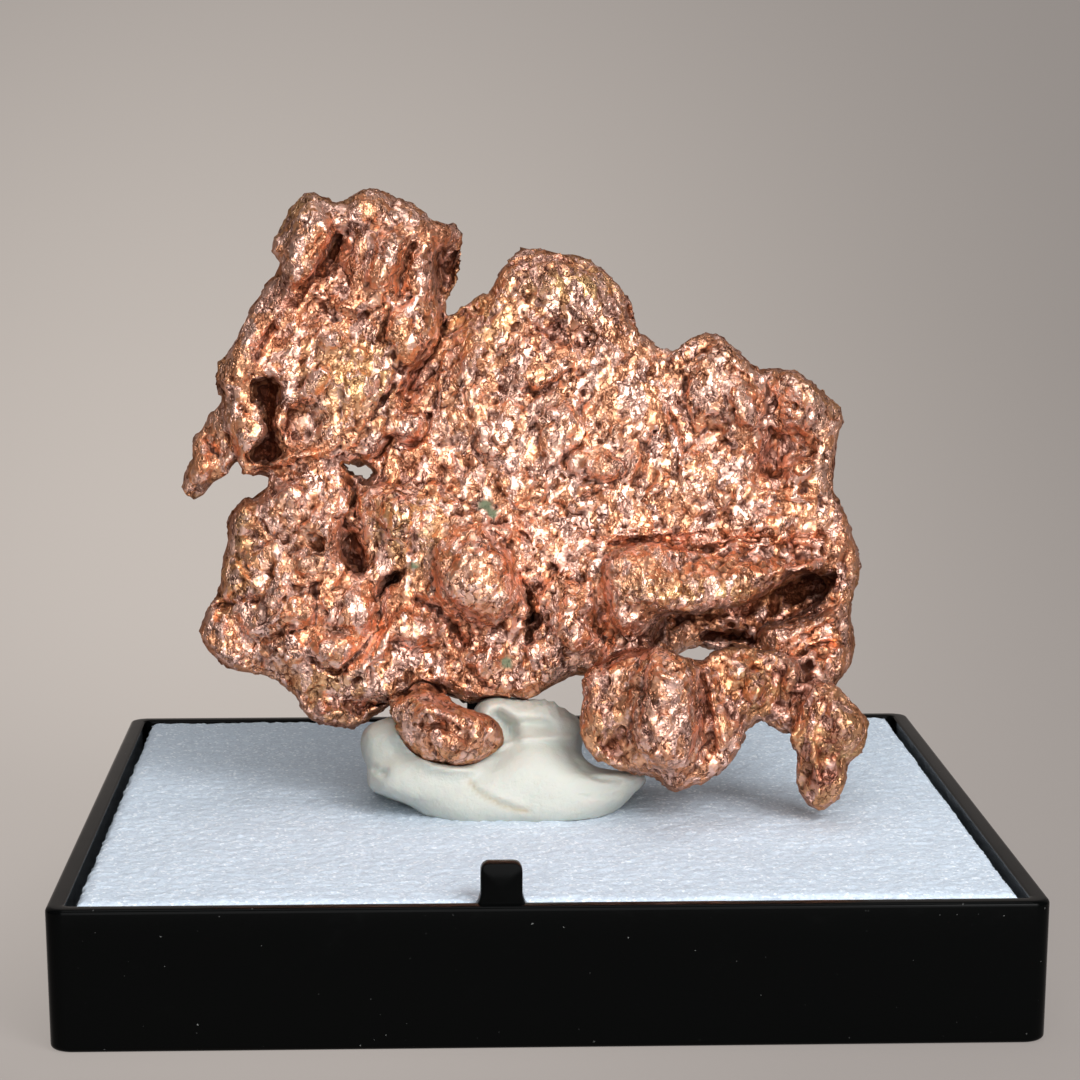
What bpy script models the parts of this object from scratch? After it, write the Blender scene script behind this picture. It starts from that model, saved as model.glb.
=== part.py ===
"""Native copper nugget, pressed into putty on the foam pad of a black specimen-box base.

Metres, +Z up. The origin is the middle of the base's underside, and the nugget's front faces -Y.
The nugget and the putty are drawn in millimetres as front views: each outline is a list of (x, z)
points on the plane y = DRAWING_DEPTH, and is given a front depth and a back depth. Every depth is
then carried along the line of sight from EYE, so that the front view stays true at any depth.
"""
import math

import bmesh
import bpy
import numpy as np
from mathutils import Matrix, Vector
from mathutils.bvhtree import BVHTree

MM = 0.001

# Box base and foam pad, millimetres
BOX_SIDE = 31.75
BASE_HEIGHT = 4.64
BASE_TAPER = 0.08
WALL = 1.0
FLOOR = 1.0
CORNER = 0.6
EDGE_ROUND = 0.22
TAB_WIDTH = 1.33
TAB_RISE = 1.3
TAB_DEPTH = 0.62
TAB_SETBACK = 0.38
TAB_X = -1.53
TAB_FOOT = 1.6
TAB_CORNER = 0.3
CORNER_STEPS = 5
INNER_TAPER = 0.15
CLEARANCE = 0.32
FOAM_CELLS = 9
FOAM_ROUGHNESS = 0.09

# Front-view drawing, millimetres
EYE = (-3.95, -115.37, 29.73)
DRAWING_DEPTH = -2.0
DRAWING_LIFT = 0.17

# Resolution of the two lumpy pieces
NUGGET_VOXEL = 0.24
NUGGET_TRIANGLES = 7300
PUTTY_VOXEL = 0.34
PUTTY_TRIANGLES = 1300
ROOM_VOXEL = 0.25
LUMP_SIZE = 1.3
LUMP_HEIGHT = 0.2
WANDER = 0.14
SEED = 7

COPPER = (0.72, 0.30, 0.17, 1.0)
PUTTY_WHITE = (0.80, 0.79, 0.74, 1.0)
FOAM_WHITE = (0.74, 0.78, 0.84, 1.0)
BLACK = (0.012, 0.014, 0.014, 1.0)

# Each mass of the nugget: centre, front depth, back depth, edge radius, forward slope per mm to the
# right, forward slope per mm up, crown (how far the middle stands forward), outline.
TOWER = [
    (-7.73, 26.47), (-7.55, 26.26), (-7.28, 26.10), (-7.07, 25.92), (-6.81, 25.84), (-6.58, 26.02),
    (-6.32, 26.22), (-6.0, 26.40), (-5.7, 26.39), (-5.4, 26.33), (-5.12, 26.22), (-4.92, 26.14),
    (-4.76, 26.0), (-4.25, 25.99), (-4.04, 25.86), (-3.78, 25.6), (-3.58, 25.5), (-3.11, 25.4),
    (-2.8, 25.32), (-2.64, 25.19), (-2.59, 24.83), (-2.51, 24.49), (-2.64, 24.15), (-2.75, 23.84),
    (-2.8, 23.38), (-2.88, 23.07), (-3.1, 22.76), (-3.22, 22.5), (-3.28, 22.24), (-3.33, 22.06),
    (-3.28, 21.88), (-3.3, 21.62), (-3.35, 21.28), (-3.6, 20.92), (-3.72, 20.6), (-3.98, 20.24),
    (-4.13, 20.04), (-4.4, 19.88), (-4.55, 19.62), (-4.75, 19.3), (-4.7, 18.6), (-4.8, 17.8),
    (-5.2, 17.2), (-5.8, 16.82), (-6.5, 16.9), (-7.1, 16.98), (-7.35, 17.14), (-7.85, 17.2),
    (-8.25, 16.98), (-8.75, 17.0), (-9.16, 16.66), (-9.47, 16.61), (-9.78, 16.54), (-10.1, 16.56),
    (-10.26, 16.82), (-10.28, 17.06), (-10.5, 17.6), (-10.8, 18.4), (-10.9, 18.99), (-10.92, 19.25),
    (-10.99, 19.54), (-11.2, 19.8), (-11.26, 19.98), (-11.18, 20.19), (-10.94, 20.45), (-10.7, 20.87),
    (-10.43, 21.24), (-10.12, 21.7), (-9.97, 22.1), (-9.79, 22.49), (-9.52, 22.75), (-9.28, 23.07),
    (-9.18, 23.38), (-8.97, 23.54), (-8.8, 23.75), (-8.77, 23.96), (-8.92, 24.11), (-9.07, 24.38),
    (-9.07, 24.58), (-8.92, 24.9), (-8.7, 25.16), (-8.6, 25.42), (-8.44, 25.78), (-8.2, 26.05),
    (-7.92, 26.28),
]
TAIL = [
    (-10.9, 18.99), (-11.13, 18.86), (-11.37, 18.70), (-11.48, 18.46), (-11.45, 18.15),
    (-11.65, 17.96), (-11.86, 17.86), (-11.96, 17.57), (-11.87, 17.25), (-12.0, 16.94),
    (-12.2, 16.62), (-12.3, 16.36), (-12.27, 15.99), (-12.1, 15.77), (-11.83, 15.70), (-11.7, 15.82),
    (-11.6, 16.03), (-11.45, 16.27), (-11.1, 16.40), (-10.78, 16.61), (-10.57, 16.88),
    (-10.42, 17.14), (-10.1, 17.3), (-9.6, 17.7), (-9.5, 18.2), (-9.7, 18.9), (-10.2, 19.2),
    (-10.6, 19.2),
]
MAIN_PLATE = [
    (-3.16, 22.0), (-2.85, 22.08), (-2.54, 22.32), (-2.33, 22.37), (-2.02, 22.58), (-1.77, 22.63),
    (-1.56, 22.78), (-1.48, 22.91), (-1.43, 23.22), (-1.25, 23.48), (-1.04, 23.79), (-0.96, 24.02),
    (-0.73, 24.23), (-0.47, 24.36), (-0.26, 24.41), (0.0, 24.36), (0.4, 24.30), (0.76, 24.26),
    (1.02, 24.16), (1.43, 24.17), (1.75, 24.11), (2.06, 23.93), (2.37, 23.67), (2.63, 23.39),
    (2.84, 23.18), (3.04, 22.92), (3.3, 22.66), (3.56, 22.35), (3.67, 22.11), (3.56, 21.88),
    (3.43, 21.70), (3.5, 21.46), (3.87, 21.32), (4.03, 21.10), (4.2, 20.91), (4.5, 20.75),
    (4.73, 20.69), (4.92, 20.83), (5.18, 21.06), (5.47, 21.26), (5.75, 21.38), (6.0, 21.41),
    (6.35, 21.36), (6.65, 21.20), (6.8, 21.09), (7.05, 20.88), (7.36, 20.55), (7.67, 20.34),
    (7.85, 20.13), (8.08, 20.14), (8.29, 20.06), (8.44, 19.90), (8.65, 20.03), (8.9, 20.12),
    (9.17, 20.06), (9.42, 19.85), (9.73, 19.75), (9.99, 19.54), (10.25, 19.18), (10.46, 18.82),
    (10.62, 18.41), (10.69, 18.05), (10.66, 17.58), (10.49, 17.11), (10.55, 16.70), (10.48, 16.39),
    (10.41, 16.13), (10.5, 15.68), (10.72, 15.43), (10.94, 15.02), (11.07, 14.61), (11.18, 14.20),
    (11.33, 13.74), (11.38, 13.43), (11.2, 12.9), (10.2, 12.9), (8.0, 13.0), (6.0, 12.8),
    (4.6, 12.5), (2.0, 12.3), (-1.0, 12.5), (-3.5, 12.9), (-5.2, 13.4), (-5.85, 14.8),
    (-6.02, 15.7), (-6.0, 16.25), (-5.83, 16.4), (-5.75, 17.0), (-5.4, 17.6), (-5.2, 18.6),
    (-4.5, 19.2), (-4.16, 19.7), (-3.76, 20.12), (-3.32, 20.66), (-3.05, 21.3),
]
LEFT_PLATE = [
    (-5.33, 8.24), (-5.5, 8.05), (-5.73, 7.92), (-6.05, 7.76), (-6.3, 7.65), (-6.6, 7.59),
    (-7.06, 7.56), (-7.71, 7.71), (-8.16, 8.04), (-8.44, 8.61), (-9.01, 9.19), (-9.35, 9.4),
    (-9.65, 9.5), (-10.02, 9.66), (-10.33, 9.72), (-10.69, 9.72), (-10.95, 9.8), (-11.16, 10.01),
    (-11.42, 10.2), (-11.57, 10.38), (-11.7, 10.65), (-11.75, 10.92), (-11.7, 11.28), (-11.63, 11.6),
    (-11.5, 11.81), (-11.28, 11.79), (-11.15, 11.93), (-11.09, 12.3), (-10.95, 12.72),
    (-10.83, 13.14), (-10.88, 13.57), (-10.85, 13.88), (-10.77, 14.25), (-10.77, 14.63),
    (-10.74, 15.0), (-10.6, 15.2), (-10.4, 15.43), (-10.2, 15.6), (-9.85, 15.67), (-9.55, 15.8),
    (-9.3, 16.08), (-9.23, 16.29), (-9.1, 16.5), (-8.8, 16.65), (-8.3, 16.8), (-7.77, 17.0),
    (-7.6, 17.02), (-7.1, 16.9), (-6.78, 16.8), (-6.45, 16.64), (-6.25, 16.4), (-6.0, 16.25),
    (-5.9, 15.5), (-5.6, 14.8), (-5.4, 14.0), (-5.1, 13.2), (-4.8, 12.4), (-4.8, 11.6),
    (-4.6, 10.8), (-4.4, 10.0), (-4.4, 9.0),
]
MIDDLE = [
    (-6.0, 16.0), (-6.0, 15.4), (-5.95, 14.8), (-5.75, 13.9), (-5.3, 13.3), (-5.3, 12.3),
    (-5.45, 11.6), (-5.4, 11.1), (-5.8, 10.6), (-6.1, 9.8), (-5.9, 8.9), (-5.33, 8.36),
    (-4.7, 8.62), (-4.35, 8.78), (-4.05, 8.97), (-3.8, 9.1), (-3.57, 9.03), (-3.3, 8.9),
    (-3.0, 8.66), (-2.65, 8.5), (-2.35, 8.34), (-2.03, 8.48), (-1.5, 8.6), (-1.0, 8.63),
    (-0.54, 8.52), (-0.23, 8.55), (0.13, 8.73), (0.5, 8.94), (0.8, 9.15), (1.0, 9.31), (1.22, 9.4),
    (1.63, 9.41), (2.6, 9.3), (3.6, 9.6), (4.0, 10.4), (4.42, 11.3), (4.58, 11.56), (4.7, 12.2),
    (4.6, 13.2), (3.5, 14.0), (1.5, 14.5), (-1.0, 15.3), (-3.5, 15.9), (-5.2, 16.2),
]
DOME = [
    (-3.55, 13.2), (-3.5, 13.9), (-3.1, 14.4), (-2.5, 14.75), (-1.9, 14.7), (-1.1, 14.2),
    (-0.7, 13.4), (-0.6, 12.8), (-0.45, 12.2), (-0.25, 11.6), (-0.5, 11.1), (-1.2, 11.05),
    (-1.9, 11.25), (-2.6, 11.3), (-3.1, 11.6), (-3.5, 12.2),
]
SMALL_LOBE = [
    (0.2, 12.9), (0.9, 13.2), (1.6, 13.1), (1.95, 12.4), (1.95, 11.5), (2.05, 10.8), (1.8, 10.1),
    (1.2, 9.9), (0.6, 10.2), (0.3, 10.9), (0.15, 11.7),
]
ROUND_LOBE = [
    (2.15, 13.1), (2.25, 12.35), (2.36, 11.8), (2.57, 11.3), (2.82, 10.83), (3.03, 10.6),
    (3.5, 10.5), (3.76, 10.77), (4.0, 11.03), (4.42, 11.3), (4.7, 11.7), (4.8, 12.5), (4.6, 13.3),
    (4.0, 13.9), (3.2, 13.95), (2.5, 13.7),
]
RIDGE = [
    (3.2, 13.3), (3.55, 13.95), (4.0, 14.11), (4.37, 14.07), (5.2, 13.8), (6.2, 13.64),
    (6.55, 13.84), (6.9, 13.9), (7.93, 13.79), (8.45, 13.95), (8.95, 14.0), (9.57, 13.95),
    (9.98, 13.84), (10.28, 13.63), (10.35, 13.23), (10.34, 12.97), (9.98, 13.02), (9.47, 12.97),
    (8.95, 12.86), (8.55, 12.55), (8.03, 12.25), (7.6, 11.98), (7.2, 11.88), (6.65, 11.8),
    (6.2, 11.7), (5.67, 11.63), (5.05, 11.61), (4.4, 11.65), (3.4, 12.0),
]
BACK_WALL = [
    (3.4, 13.4), (3.7, 11.4), (4.2, 10.6), (4.9, 10.3), (6.0, 10.3), (6.5, 10.1), (7.2, 9.9),
    (8.0, 9.6), (9.0, 9.2), (10.5, 9.3), (11.0, 9.9), (11.1, 10.9), (11.1, 12.0), (11.2, 13.6),
    (9.0, 14.0), (6.0, 14.0),
]
RIGHT_FLANK = [
    (11.36, 13.2), (11.3, 12.40), (11.22, 11.98), (11.1, 11.57), (11.12, 11.26), (11.2, 10.95),
    (11.23, 10.53), (11.27, 10.07), (11.24, 9.67), (11.07, 9.43), (10.8, 9.27), (10.66, 9.12),
    (10.5, 8.6), (9.8, 8.2), (9.0, 8.1), (8.6, 8.8), (8.2, 9.6), (7.8, 10.35), (7.9, 11.0),
    (8.7, 11.2), (9.6, 11.5), (10.4, 12.2), (10.8, 13.3),
]
STRAND = [
    (5.9, 9.9), (6.5, 10.2), (7.2, 10.2), (7.9, 10.1), (8.6, 10.15), (9.3, 9.9), (9.9, 9.4),
    (10.5, 9.0), (10.6, 8.5), (10.0, 7.7), (9.3, 7.2), (9.1, 7.14), (8.8, 7.22), (8.44, 7.40),
    (8.08, 7.64), (7.78, 7.58), (7.52, 7.48), (7.3, 6.9), (6.8, 6.7), (6.3, 7.0), (5.9, 8.0),
]
BLOCK = [
    (1.73, 9.3), (1.9, 9.7), (2.5, 9.85), (3.1, 10.1), (3.7, 10.15), (4.1, 10.15), (4.5, 10.15),
    (5.08, 10.0), (5.46, 9.85), (5.9, 9.8), (6.4, 9.4), (6.8, 8.6), (7.1, 7.8), (7.5, 7.3),
    (7.5, 6.88), (7.1, 6.67), (6.97, 6.30), (6.8, 5.99), (6.43, 5.89), (6.22, 5.63), (5.9, 5.45),
    (5.65, 5.43), (5.23, 5.22), (5.0, 5.12), (4.82, 5.27), (4.56, 5.59), (4.25, 5.77), (3.9, 5.82),
    (3.53, 5.77), (3.17, 5.87), (2.86, 6.0), (2.5, 6.1), (2.19, 6.32), (1.98, 6.58), (1.88, 6.9),
    (1.73, 7.1), (1.65, 7.53), (1.68, 8.0), (1.8, 8.47), (1.73, 8.83),
]
BLOCK_FACE = [
    (4.1, 10.1), (4.5, 10.1), (5.08, 9.95), (5.46, 9.7), (5.6, 9.2), (5.72, 8.68), (5.76, 7.8),
    (5.76, 7.0), (5.7, 6.6), (5.38, 6.1), (5.08, 5.8), (4.5, 5.9), (4.1, 6.3), (3.75, 6.74),
    (3.65, 7.53), (3.75, 8.83), (3.85, 9.6),
]
LEG = [
    (9.1, 7.14), (9.4, 7.8), (9.9, 8.8), (10.3, 8.95), (10.63, 8.86), (10.86, 8.60), (11.17, 8.29),
    (11.48, 8.03), (11.69, 7.82), (11.84, 7.56), (11.77, 7.25), (11.74, 6.88), (11.53, 6.52),
    (11.22, 6.33), (11.12, 6.10), (11.17, 5.73), (11.14, 5.31), (11.0, 4.90), (10.8, 4.72),
    (10.57, 4.59), (10.5, 4.42), (10.24, 4.32), (9.98, 4.38), (9.78, 4.58), (9.57, 4.78),
    (9.47, 5.10), (9.34, 5.47), (9.42, 5.94), (9.42, 6.52), (9.2, 6.83),
]
LOW_LOBE = [
    (-5.2, 8.3), (-5.08, 7.98), (-4.87, 7.56), (-4.66, 7.02), (-4.4, 6.7), (-4.04, 6.34),
    (-3.63, 6.15), (-3.2, 6.11), (-2.8, 6.08), (-2.4, 6.15), (-2.07, 6.33), (-1.82, 6.55),
    (-1.45, 6.75), (-1.1, 7.02), (-1.25, 7.35), (-1.46, 7.55), (-1.56, 7.76), (-1.77, 7.9),
    (-2.08, 7.95), (-2.3, 8.05), (-2.9, 8.2), (-3.4, 8.55), (-4.0, 8.85), (-4.8, 8.75),
]
BACK_LUMP = [
    (-4.5, 17.0), (-1.0, 19.0), (3.0, 18.5), (6.5, 16.0), (6.0, 12.5), (3.0, 10.2), (-1.0, 9.4),
    (-4.0, 10.5), (-5.6, 13.5),
]
# centre, front, back, edge radius, slope right, slope up, crown, outline
MASSES = (
    ((-6.4, 21.3), -1.3, 1.5, 0.75, -0.10, -0.04, 0.35, TOWER),
    ((-10.9, 17.7), -0.7, 0.5, 0.45, 0.10, 0.00, 0.15, TAIL),
    ((2.0, 17.4), -0.9, 1.2, 0.60, 0.02, -0.07, 0.50, MAIN_PLATE),
    ((-8.2, 12.4), -1.5, 0.8, 0.60, 0.05, -0.06, 0.35, LEFT_PLATE),
    ((-1.0, 12.1), -1.9, 0.9, 0.60, 0.00, -0.05, 0.20, MIDDLE),
    ((-2.0, 12.9), -2.6, -0.5, 0.80, 0.00, 0.00, 0.70, DOME),
    ((1.1, 11.5), -2.4, -0.5, 0.55, 0.00, 0.00, 0.35, SMALL_LOBE),
    ((3.5, 12.2), -2.9, -0.5, 0.80, 0.00, 0.00, 0.50, ROUND_LOBE),
    ((6.2, 12.8), -3.1, -0.6, 0.55, -0.16, -0.35, 0.30, RIDGE),
    ((7.6, 11.9), 0.4, 1.9, 0.50, 0.00, 0.00, 0.00, BACK_WALL),
    ((9.9, 10.2), -2.0, 0.9, 0.60, 0.05, -0.25, 0.20, RIGHT_FLANK),
    ((8.3, 8.8), -3.9, -2.3, 0.55, -0.12, 0.00, 0.25, STRAND),
    ((4.4, 7.9), -5.1, -2.0, 0.80, 0.00, -0.05, 0.20, BLOCK),
    ((4.8, 8.0), -6.0, -4.0, 0.60, -0.10, 0.00, 0.20, BLOCK_FACE),
    ((10.4, 6.9), -5.0, -3.4, 0.50, 0.00, 0.05, 0.25, LEG),
    ((-3.2, 7.5), -4.3, -1.6, 0.80, 0.05, -0.15, 0.30, LOW_LOBE),
    ((0.5, 14.0), 0.0, 2.6, 1.20, 0.00, 0.00, -0.60, BACK_LUMP),
)
# Bridges that carry the block, the strand, the leg and the low lobe: (x, y, z, radius) from end to end
BRIDGES = (
    ((3.0, -0.6, 10.6, 1.0), (3.2, -1.8, 9.9, 1.1), (3.6, -3.0, 9.0, 1.2)),
    ((9.6, -1.0, 9.8, 0.9), (9.5, -2.2, 9.3, 0.9), (9.4, -3.4, 8.8, 0.7)),
    ((9.4, -3.2, 8.8, 0.7), (10.0, -3.9, 8.3, 0.7), (10.4, -4.3, 7.8, 0.7)),
    ((7.0, -3.2, 8.8, 0.8), (6.2, -3.6, 8.4, 0.9), (5.2, -3.8, 8.0, 1.0)),
    ((-4.2, -0.8, 9.4, 0.8), (-4.1, -2.0, 8.7, 0.8), (-3.8, -3.0, 8.0, 0.9)),
)

# Creases and folds on the front: push toward the viewer (minus cuts in), half width, path
FRONT_STROKES = (
    (-1.1, 0.30, [(-3.2, 22.1), (-3.2, 21.3), (-3.55, 20.7), (-3.95, 20.15), (-4.4, 19.75)]),
    (-1.0, 0.42, [(-6.6, 25.2), (-6.77, 24.9), (-7.1, 24.27), (-7.45, 23.7), (-7.8, 23.17),
                  (-8.15, 22.75), (-8.65, 22.22)]),
    (0.35, 0.40, [(-7.1, 25.1), (-7.35, 24.58), (-7.6, 24.1), (-7.85, 23.54)]),
    (0.55, 0.60, [(-4.36, 24.78), (-4.67, 24.4), (-4.98, 23.9), (-5.25, 23.3), (-5.5, 22.75)]),
    (-0.5, 0.35, [(-4.2, 24.5), (-4.62, 23.7), (-4.78, 22.8)]),
    (-0.6, 0.55, [(-2.9, 24.5), (-2.95, 23.7), (-3.2, 22.9)]),
    (-0.4, 0.40, [(-6.94, 21.72), (-6.33, 21.93), (-5.8, 22.24), (-5.25, 22.55)]),
    (-0.35, 0.35, [(-5.03, 22.08), (-5.2, 21.6), (-5.4, 21.25)]),
    (-1.7, 0.62, [(-9.5, 19.6), (-9.1, 19.1), (-9.25, 18.5), (-9.1, 17.8), (-9.5, 17.1)]),
    (-0.6, 0.80, [(-7.9, 18.6), (-7.8, 18.0)]),
    (0.5, 0.45, [(-8.75, 17.25), (-7.85, 17.35), (-7.35, 17.25)]),
    (0.5, 0.60, [(-7.9, 20.4), (-6.6, 20.9), (-5.6, 20.6)]),
    (0.5, 0.50, [(-4.33, 18.27), (-4.25, 18.3)]),
    (-0.7, 0.28, [(-3.72, 18.53), (-3.72, 18.17), (-3.87, 17.8), (-4.18, 17.6), (-4.65, 17.65)]),
    (-0.9, 0.30, [(-5.45, 17.2), (-5.25, 17.7), (-5.3, 18.6), (-5.1, 19.5)]),
    (-1.3, 0.50, [(-6.4, 16.6), (-6.3, 15.9), (-6.25, 14.8), (-6.0, 13.8), (-5.7, 12.9)]),
    (-1.6, 0.45, [(-4.4, 13.3), (-4.9, 12.7), (-5.5, 12.1)]),
    (-0.8, 0.26, [(-5.4, 12.0), (-5.5, 11.15), (-5.75, 10.8), (-6.0, 10.63), (-6.35, 10.2),
                  (-6.65, 9.75), (-7.0, 9.5), (-7.5, 9.8), (-7.9, 10.3)]),
    (0.5, 0.90, [(-7.6, 10.5), (-6.8, 10.6)]),
    (0.5, 0.60, [(-8.5, 14.6), (-7.6, 14.73), (-6.95, 14.2)]),
    (-0.4, 0.45, [(-8.75, 12.6), (-8.1, 12.5), (-7.2, 12.7)]),
    (0.4, 0.50, [(-8.5, 13.5), (-7.7, 13.4)]),
    (-0.4, 0.40, [(-10.0, 10.45), (-9.2, 10.9), (-8.17, 11.07)]),
    (0.45, 0.70, [(-10.9, 11.2), (-10.0, 11.4), (-9.2, 11.9)]),
    (-0.45, 0.40, [(-11.2, 11.9), (-10.7, 11.9), (-10.3, 12.1)]),
    (0.35, 0.50, [(-10.3, 13.0), (-9.9, 14.0), (-9.4, 14.9)]),
    (-0.35, 0.35, [(-10.2, 13.7), (-9.3, 14.1)]),
    (0.45, 0.60, [(-9.3, 15.5), (-8.4, 15.9), (-7.6, 16.2)]),
    (0.5, 0.80, [(-5.3, 15.6), (-4.6, 14.6), (-4.2, 13.9)]),
    (-1.0, 0.42, [(-3.75, 13.0), (-3.72, 13.9), (-3.3, 14.5), (-2.64, 14.95), (-1.97, 15.0)]),
    (-0.8, 0.35, [(-0.8, 14.6), (-0.35, 14.25), (-0.3, 13.5)]),
    (-0.9, 0.30, [(-0.5, 12.93), (-0.35, 12.4), (-0.15, 11.8), (0.0, 11.3), (-0.25, 10.7)]),
    (-0.8, 0.38, [(-3.8, 12.3), (-3.6, 11.45), (-3.05, 11.2), (-2.6, 10.95), (-2.3, 10.5)]),
    (0.45, 0.60, [(-4.6, 11.1), (-3.8, 11.0)]),
    (-0.5, 0.28, [(-4.85, 10.9), (-4.6, 10.4), (-3.7, 10.3)]),
    (0.45, 0.60, [(-2.4, 9.6), (-1.2, 9.4), (-0.2, 9.5)]),
    (0.45, 0.60, [(-0.2, 10.2), (0.4, 10.0)]),
    (-0.8, 0.22, [(0.25, 9.85), (0.35, 9.75)]),
    (-0.8, 0.28, [(2.0, 12.8), (2.1, 11.8), (2.25, 11.1), (2.6, 10.5)]),
    (-0.35, 0.40, [(2.4, 14.2), (3.9, 14.35), (5.2, 14.0), (6.4, 14.2), (7.4, 14.3), (8.8, 14.2)]),
    (0.35, 0.45, [(3.0, 14.9), (4.6, 14.75), (5.4, 14.45)]),
    (-0.5, 0.80, [(8.3, 18.2), (8.5, 17.2)]),
    (0.5, 0.90, [(9.7, 18.7), (9.8, 18.2)]),
    (0.4, 0.70, [(6.6, 19.2), (7.3, 18.5)]),
    (0.35, 0.40, [(8.9, 16.8), (9.9, 16.45)]),
    (0.4, 0.80, [(5.9, 20.6), (6.3, 19.9)]),
    (-0.4, 0.45, [(-0.2, 21.4), (0.5, 21.46), (0.92, 21.82), (1.6, 22.1)]),
    (0.4, 0.90, [(0.2, 22.9), (1.6, 22.8)]),
    (-0.35, 0.50, [(3.2, 22.6), (3.25, 21.7)]),
    (0.35, 0.90, [(1.2, 19.9), (0.3, 18.7), (-0.6, 17.8)]),
    (0.35, 0.80, [(1.0, 16.6), (1.9, 15.6), (3.0, 15.1)]),
    (-0.3, 0.35, [(-3.1, 15.94), (-2.64, 16.45), (-1.0, 16.5), (0.5, 15.95), (1.7, 15.7)]),
    (-0.3, 0.40, [(1.2, 19.0), (1.6, 18.3), (1.5, 17.4), (1.1, 16.6)]),
    (-1.0, 0.50, [(8.6, 12.3), (9.6, 12.6), (10.9, 12.6)]),
    (0.5, 0.45, [(8.3, 10.2), (9.47, 10.9), (10.9, 11.2)]),
    (-0.6, 0.40, [(9.2, 9.5), (10.0, 10.1), (10.6, 10.5)]),
    (-0.7, 0.40, [(9.3, 9.2), (9.9, 8.9)]),
    (0.5, 0.45, [(7.6, 9.3), (8.2, 8.4)]),
    (-0.5, 0.35, [(8.75, 9.2), (8.7, 8.3)]),
    (-0.6, 0.26, [(5.95, 9.8), (6.0, 8.6), (6.0, 7.2)]),
    (0.45, 0.45, [(6.5, 9.0), (6.6, 7.4)]),
    (0.35, 0.70, [(2.7, 8.9), (2.7, 7.6)]),
    (-0.35, 0.30, [(3.5, 9.6), (3.4, 8.2), (3.4, 6.8)]),
    (-0.7, 0.35, [(10.35, 8.45), (10.35, 8.1)]),
    (0.4, 0.40, [(9.75, 6.6), (10.1, 5.7), (10.15, 5.0)]),
    (-0.6, 0.35, [(-1.7, 6.95), (-1.35, 6.75)]),
    (0.4, 0.50, [(-3.6, 7.6), (-2.7, 7.0)]),
)
# Broad folds on the back: push away from the viewer (minus cuts in), half width, path
BACK_STROKES = (
    (0.8, 1.6, [(-6.5, 25.0), (-7.0, 22.0), (-8.5, 19.0)]),
    (-0.7, 1.1, [(-4.6, 24.5), (-5.2, 21.5), (-5.0, 18.5)]),
    (0.7, 1.4, [(0.5, 23.0), (2.5, 20.5), (3.0, 18.0)]),
    (-0.8, 1.0, [(4.6, 20.0), (5.2, 17.0), (7.4, 15.0)]),
    (0.9, 1.5, [(8.8, 18.6), (9.4, 16.0), (8.8, 13.6)]),
    (-0.7, 0.9, [(-2.6, 20.4), (-1.6, 17.6), (0.6, 15.6), (1.0, 13.0)]),
    (0.7, 1.3, [(-9.4, 14.8), (-8.4, 12.6), (-9.4, 10.6)]),
    (-0.6, 0.9, [(-6.9, 15.4), (-6.6, 12.8), (-7.2, 10.4)]),
    (0.6, 1.2, [(-3.6, 13.6), (-3.2, 11.4), (-0.6, 10.2)]),
    (0.7, 1.0, [(9.6, 11.4), (8.0, 10.4)]),
    (-0.6, 0.7, [(6.2, 12.6), (8.4, 12.0), (10.2, 12.4)]),
    (0.5, 0.9, [(4.4, 8.8), (4.6, 6.8)]),
)

# Masses of the putty, drawn in the same way
PUTTY_FLAP = [
    (-5.97, 6.12), (-5.99, 5.75), (-5.97, 5.43), (-5.75, 5.2), (-5.38, 5.06), (-4.97, 4.85),
    (-4.46, 4.69), (-4.05, 4.3), (-3.0, 3.8), (-1.25, 3.6), (0.5, 3.6), (1.52, 3.8), (2.25, 4.1),
    (2.76, 4.4), (3.28, 4.75), (3.48, 5.07), (3.84, 5.33), (4.0, 5.48), (3.9, 5.78), (2.96, 5.9),
    (2.2, 6.0), (1.63, 6.38), (0.9, 7.0), (0.27, 7.25), (-0.53, 7.15), (-1.1, 6.92), (-2.0, 6.5),
    (-3.2, 6.4), (-4.4, 6.7), (-5.2, 6.6),
]
PUTTY_SHOULDER = [
    (-5.13, 7.87), (-5.55, 7.77), (-5.9, 7.6), (-6.13, 7.34), (-6.18, 6.97), (-6.2, 6.7),
    (-6.12, 6.4), (-5.97, 6.1), (-5.5, 5.6), (-4.5, 5.2), (-3.0, 5.2), (-1.8, 5.6), (-1.4, 6.6),
    (-1.9, 7.4), (-3.2, 7.9), (-4.2, 8.2),
]
PUTTY_HUMP = [
    (-2.13, 8.2), (-2.03, 8.4), (-1.77, 8.56), (-1.25, 8.6), (-0.5, 8.5), (0.5, 8.42), (0.9, 8.2),
    (1.2, 7.95), (1.52, 7.85), (1.7, 7.3), (1.6, 6.6), (1.9, 5.6), (1.2, 4.6), (-0.5, 4.2),
    (-2.2, 4.4), (-2.6, 6.0), (-2.5, 7.4),
]
PUTTY_MASSES = (
    ((-1.0, 5.2), -3.7, 2.2, 1.30, 0.00, -0.25, 0.30, PUTTY_FLAP),
    ((-3.9, 6.6), -2.8, 1.6, 1.00, 0.00, -0.10, 0.20, PUTTY_SHOULDER),
    ((-0.4, 6.6), -2.3, 3.2, 1.20, 0.00, 0.10, 0.20, PUTTY_HUMP),
)


def clear_scene():
    """Remove every object, so that the script always starts from nothing."""
    for thing in list(bpy.data.objects):
        bpy.data.objects.remove(thing, do_unlink=True)


def material(name, color, roughness, metallic=0.0):
    """A Principled material of one colour."""
    finish = bpy.data.materials.new(name)
    finish.use_nodes = True
    shader = finish.node_tree.nodes["Principled BSDF"]
    shader.inputs["Base Color"].default_value = color
    shader.inputs["Roughness"].default_value = roughness
    shader.inputs["Metallic"].default_value = metallic
    finish.diffuse_color = color
    return finish


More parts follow.
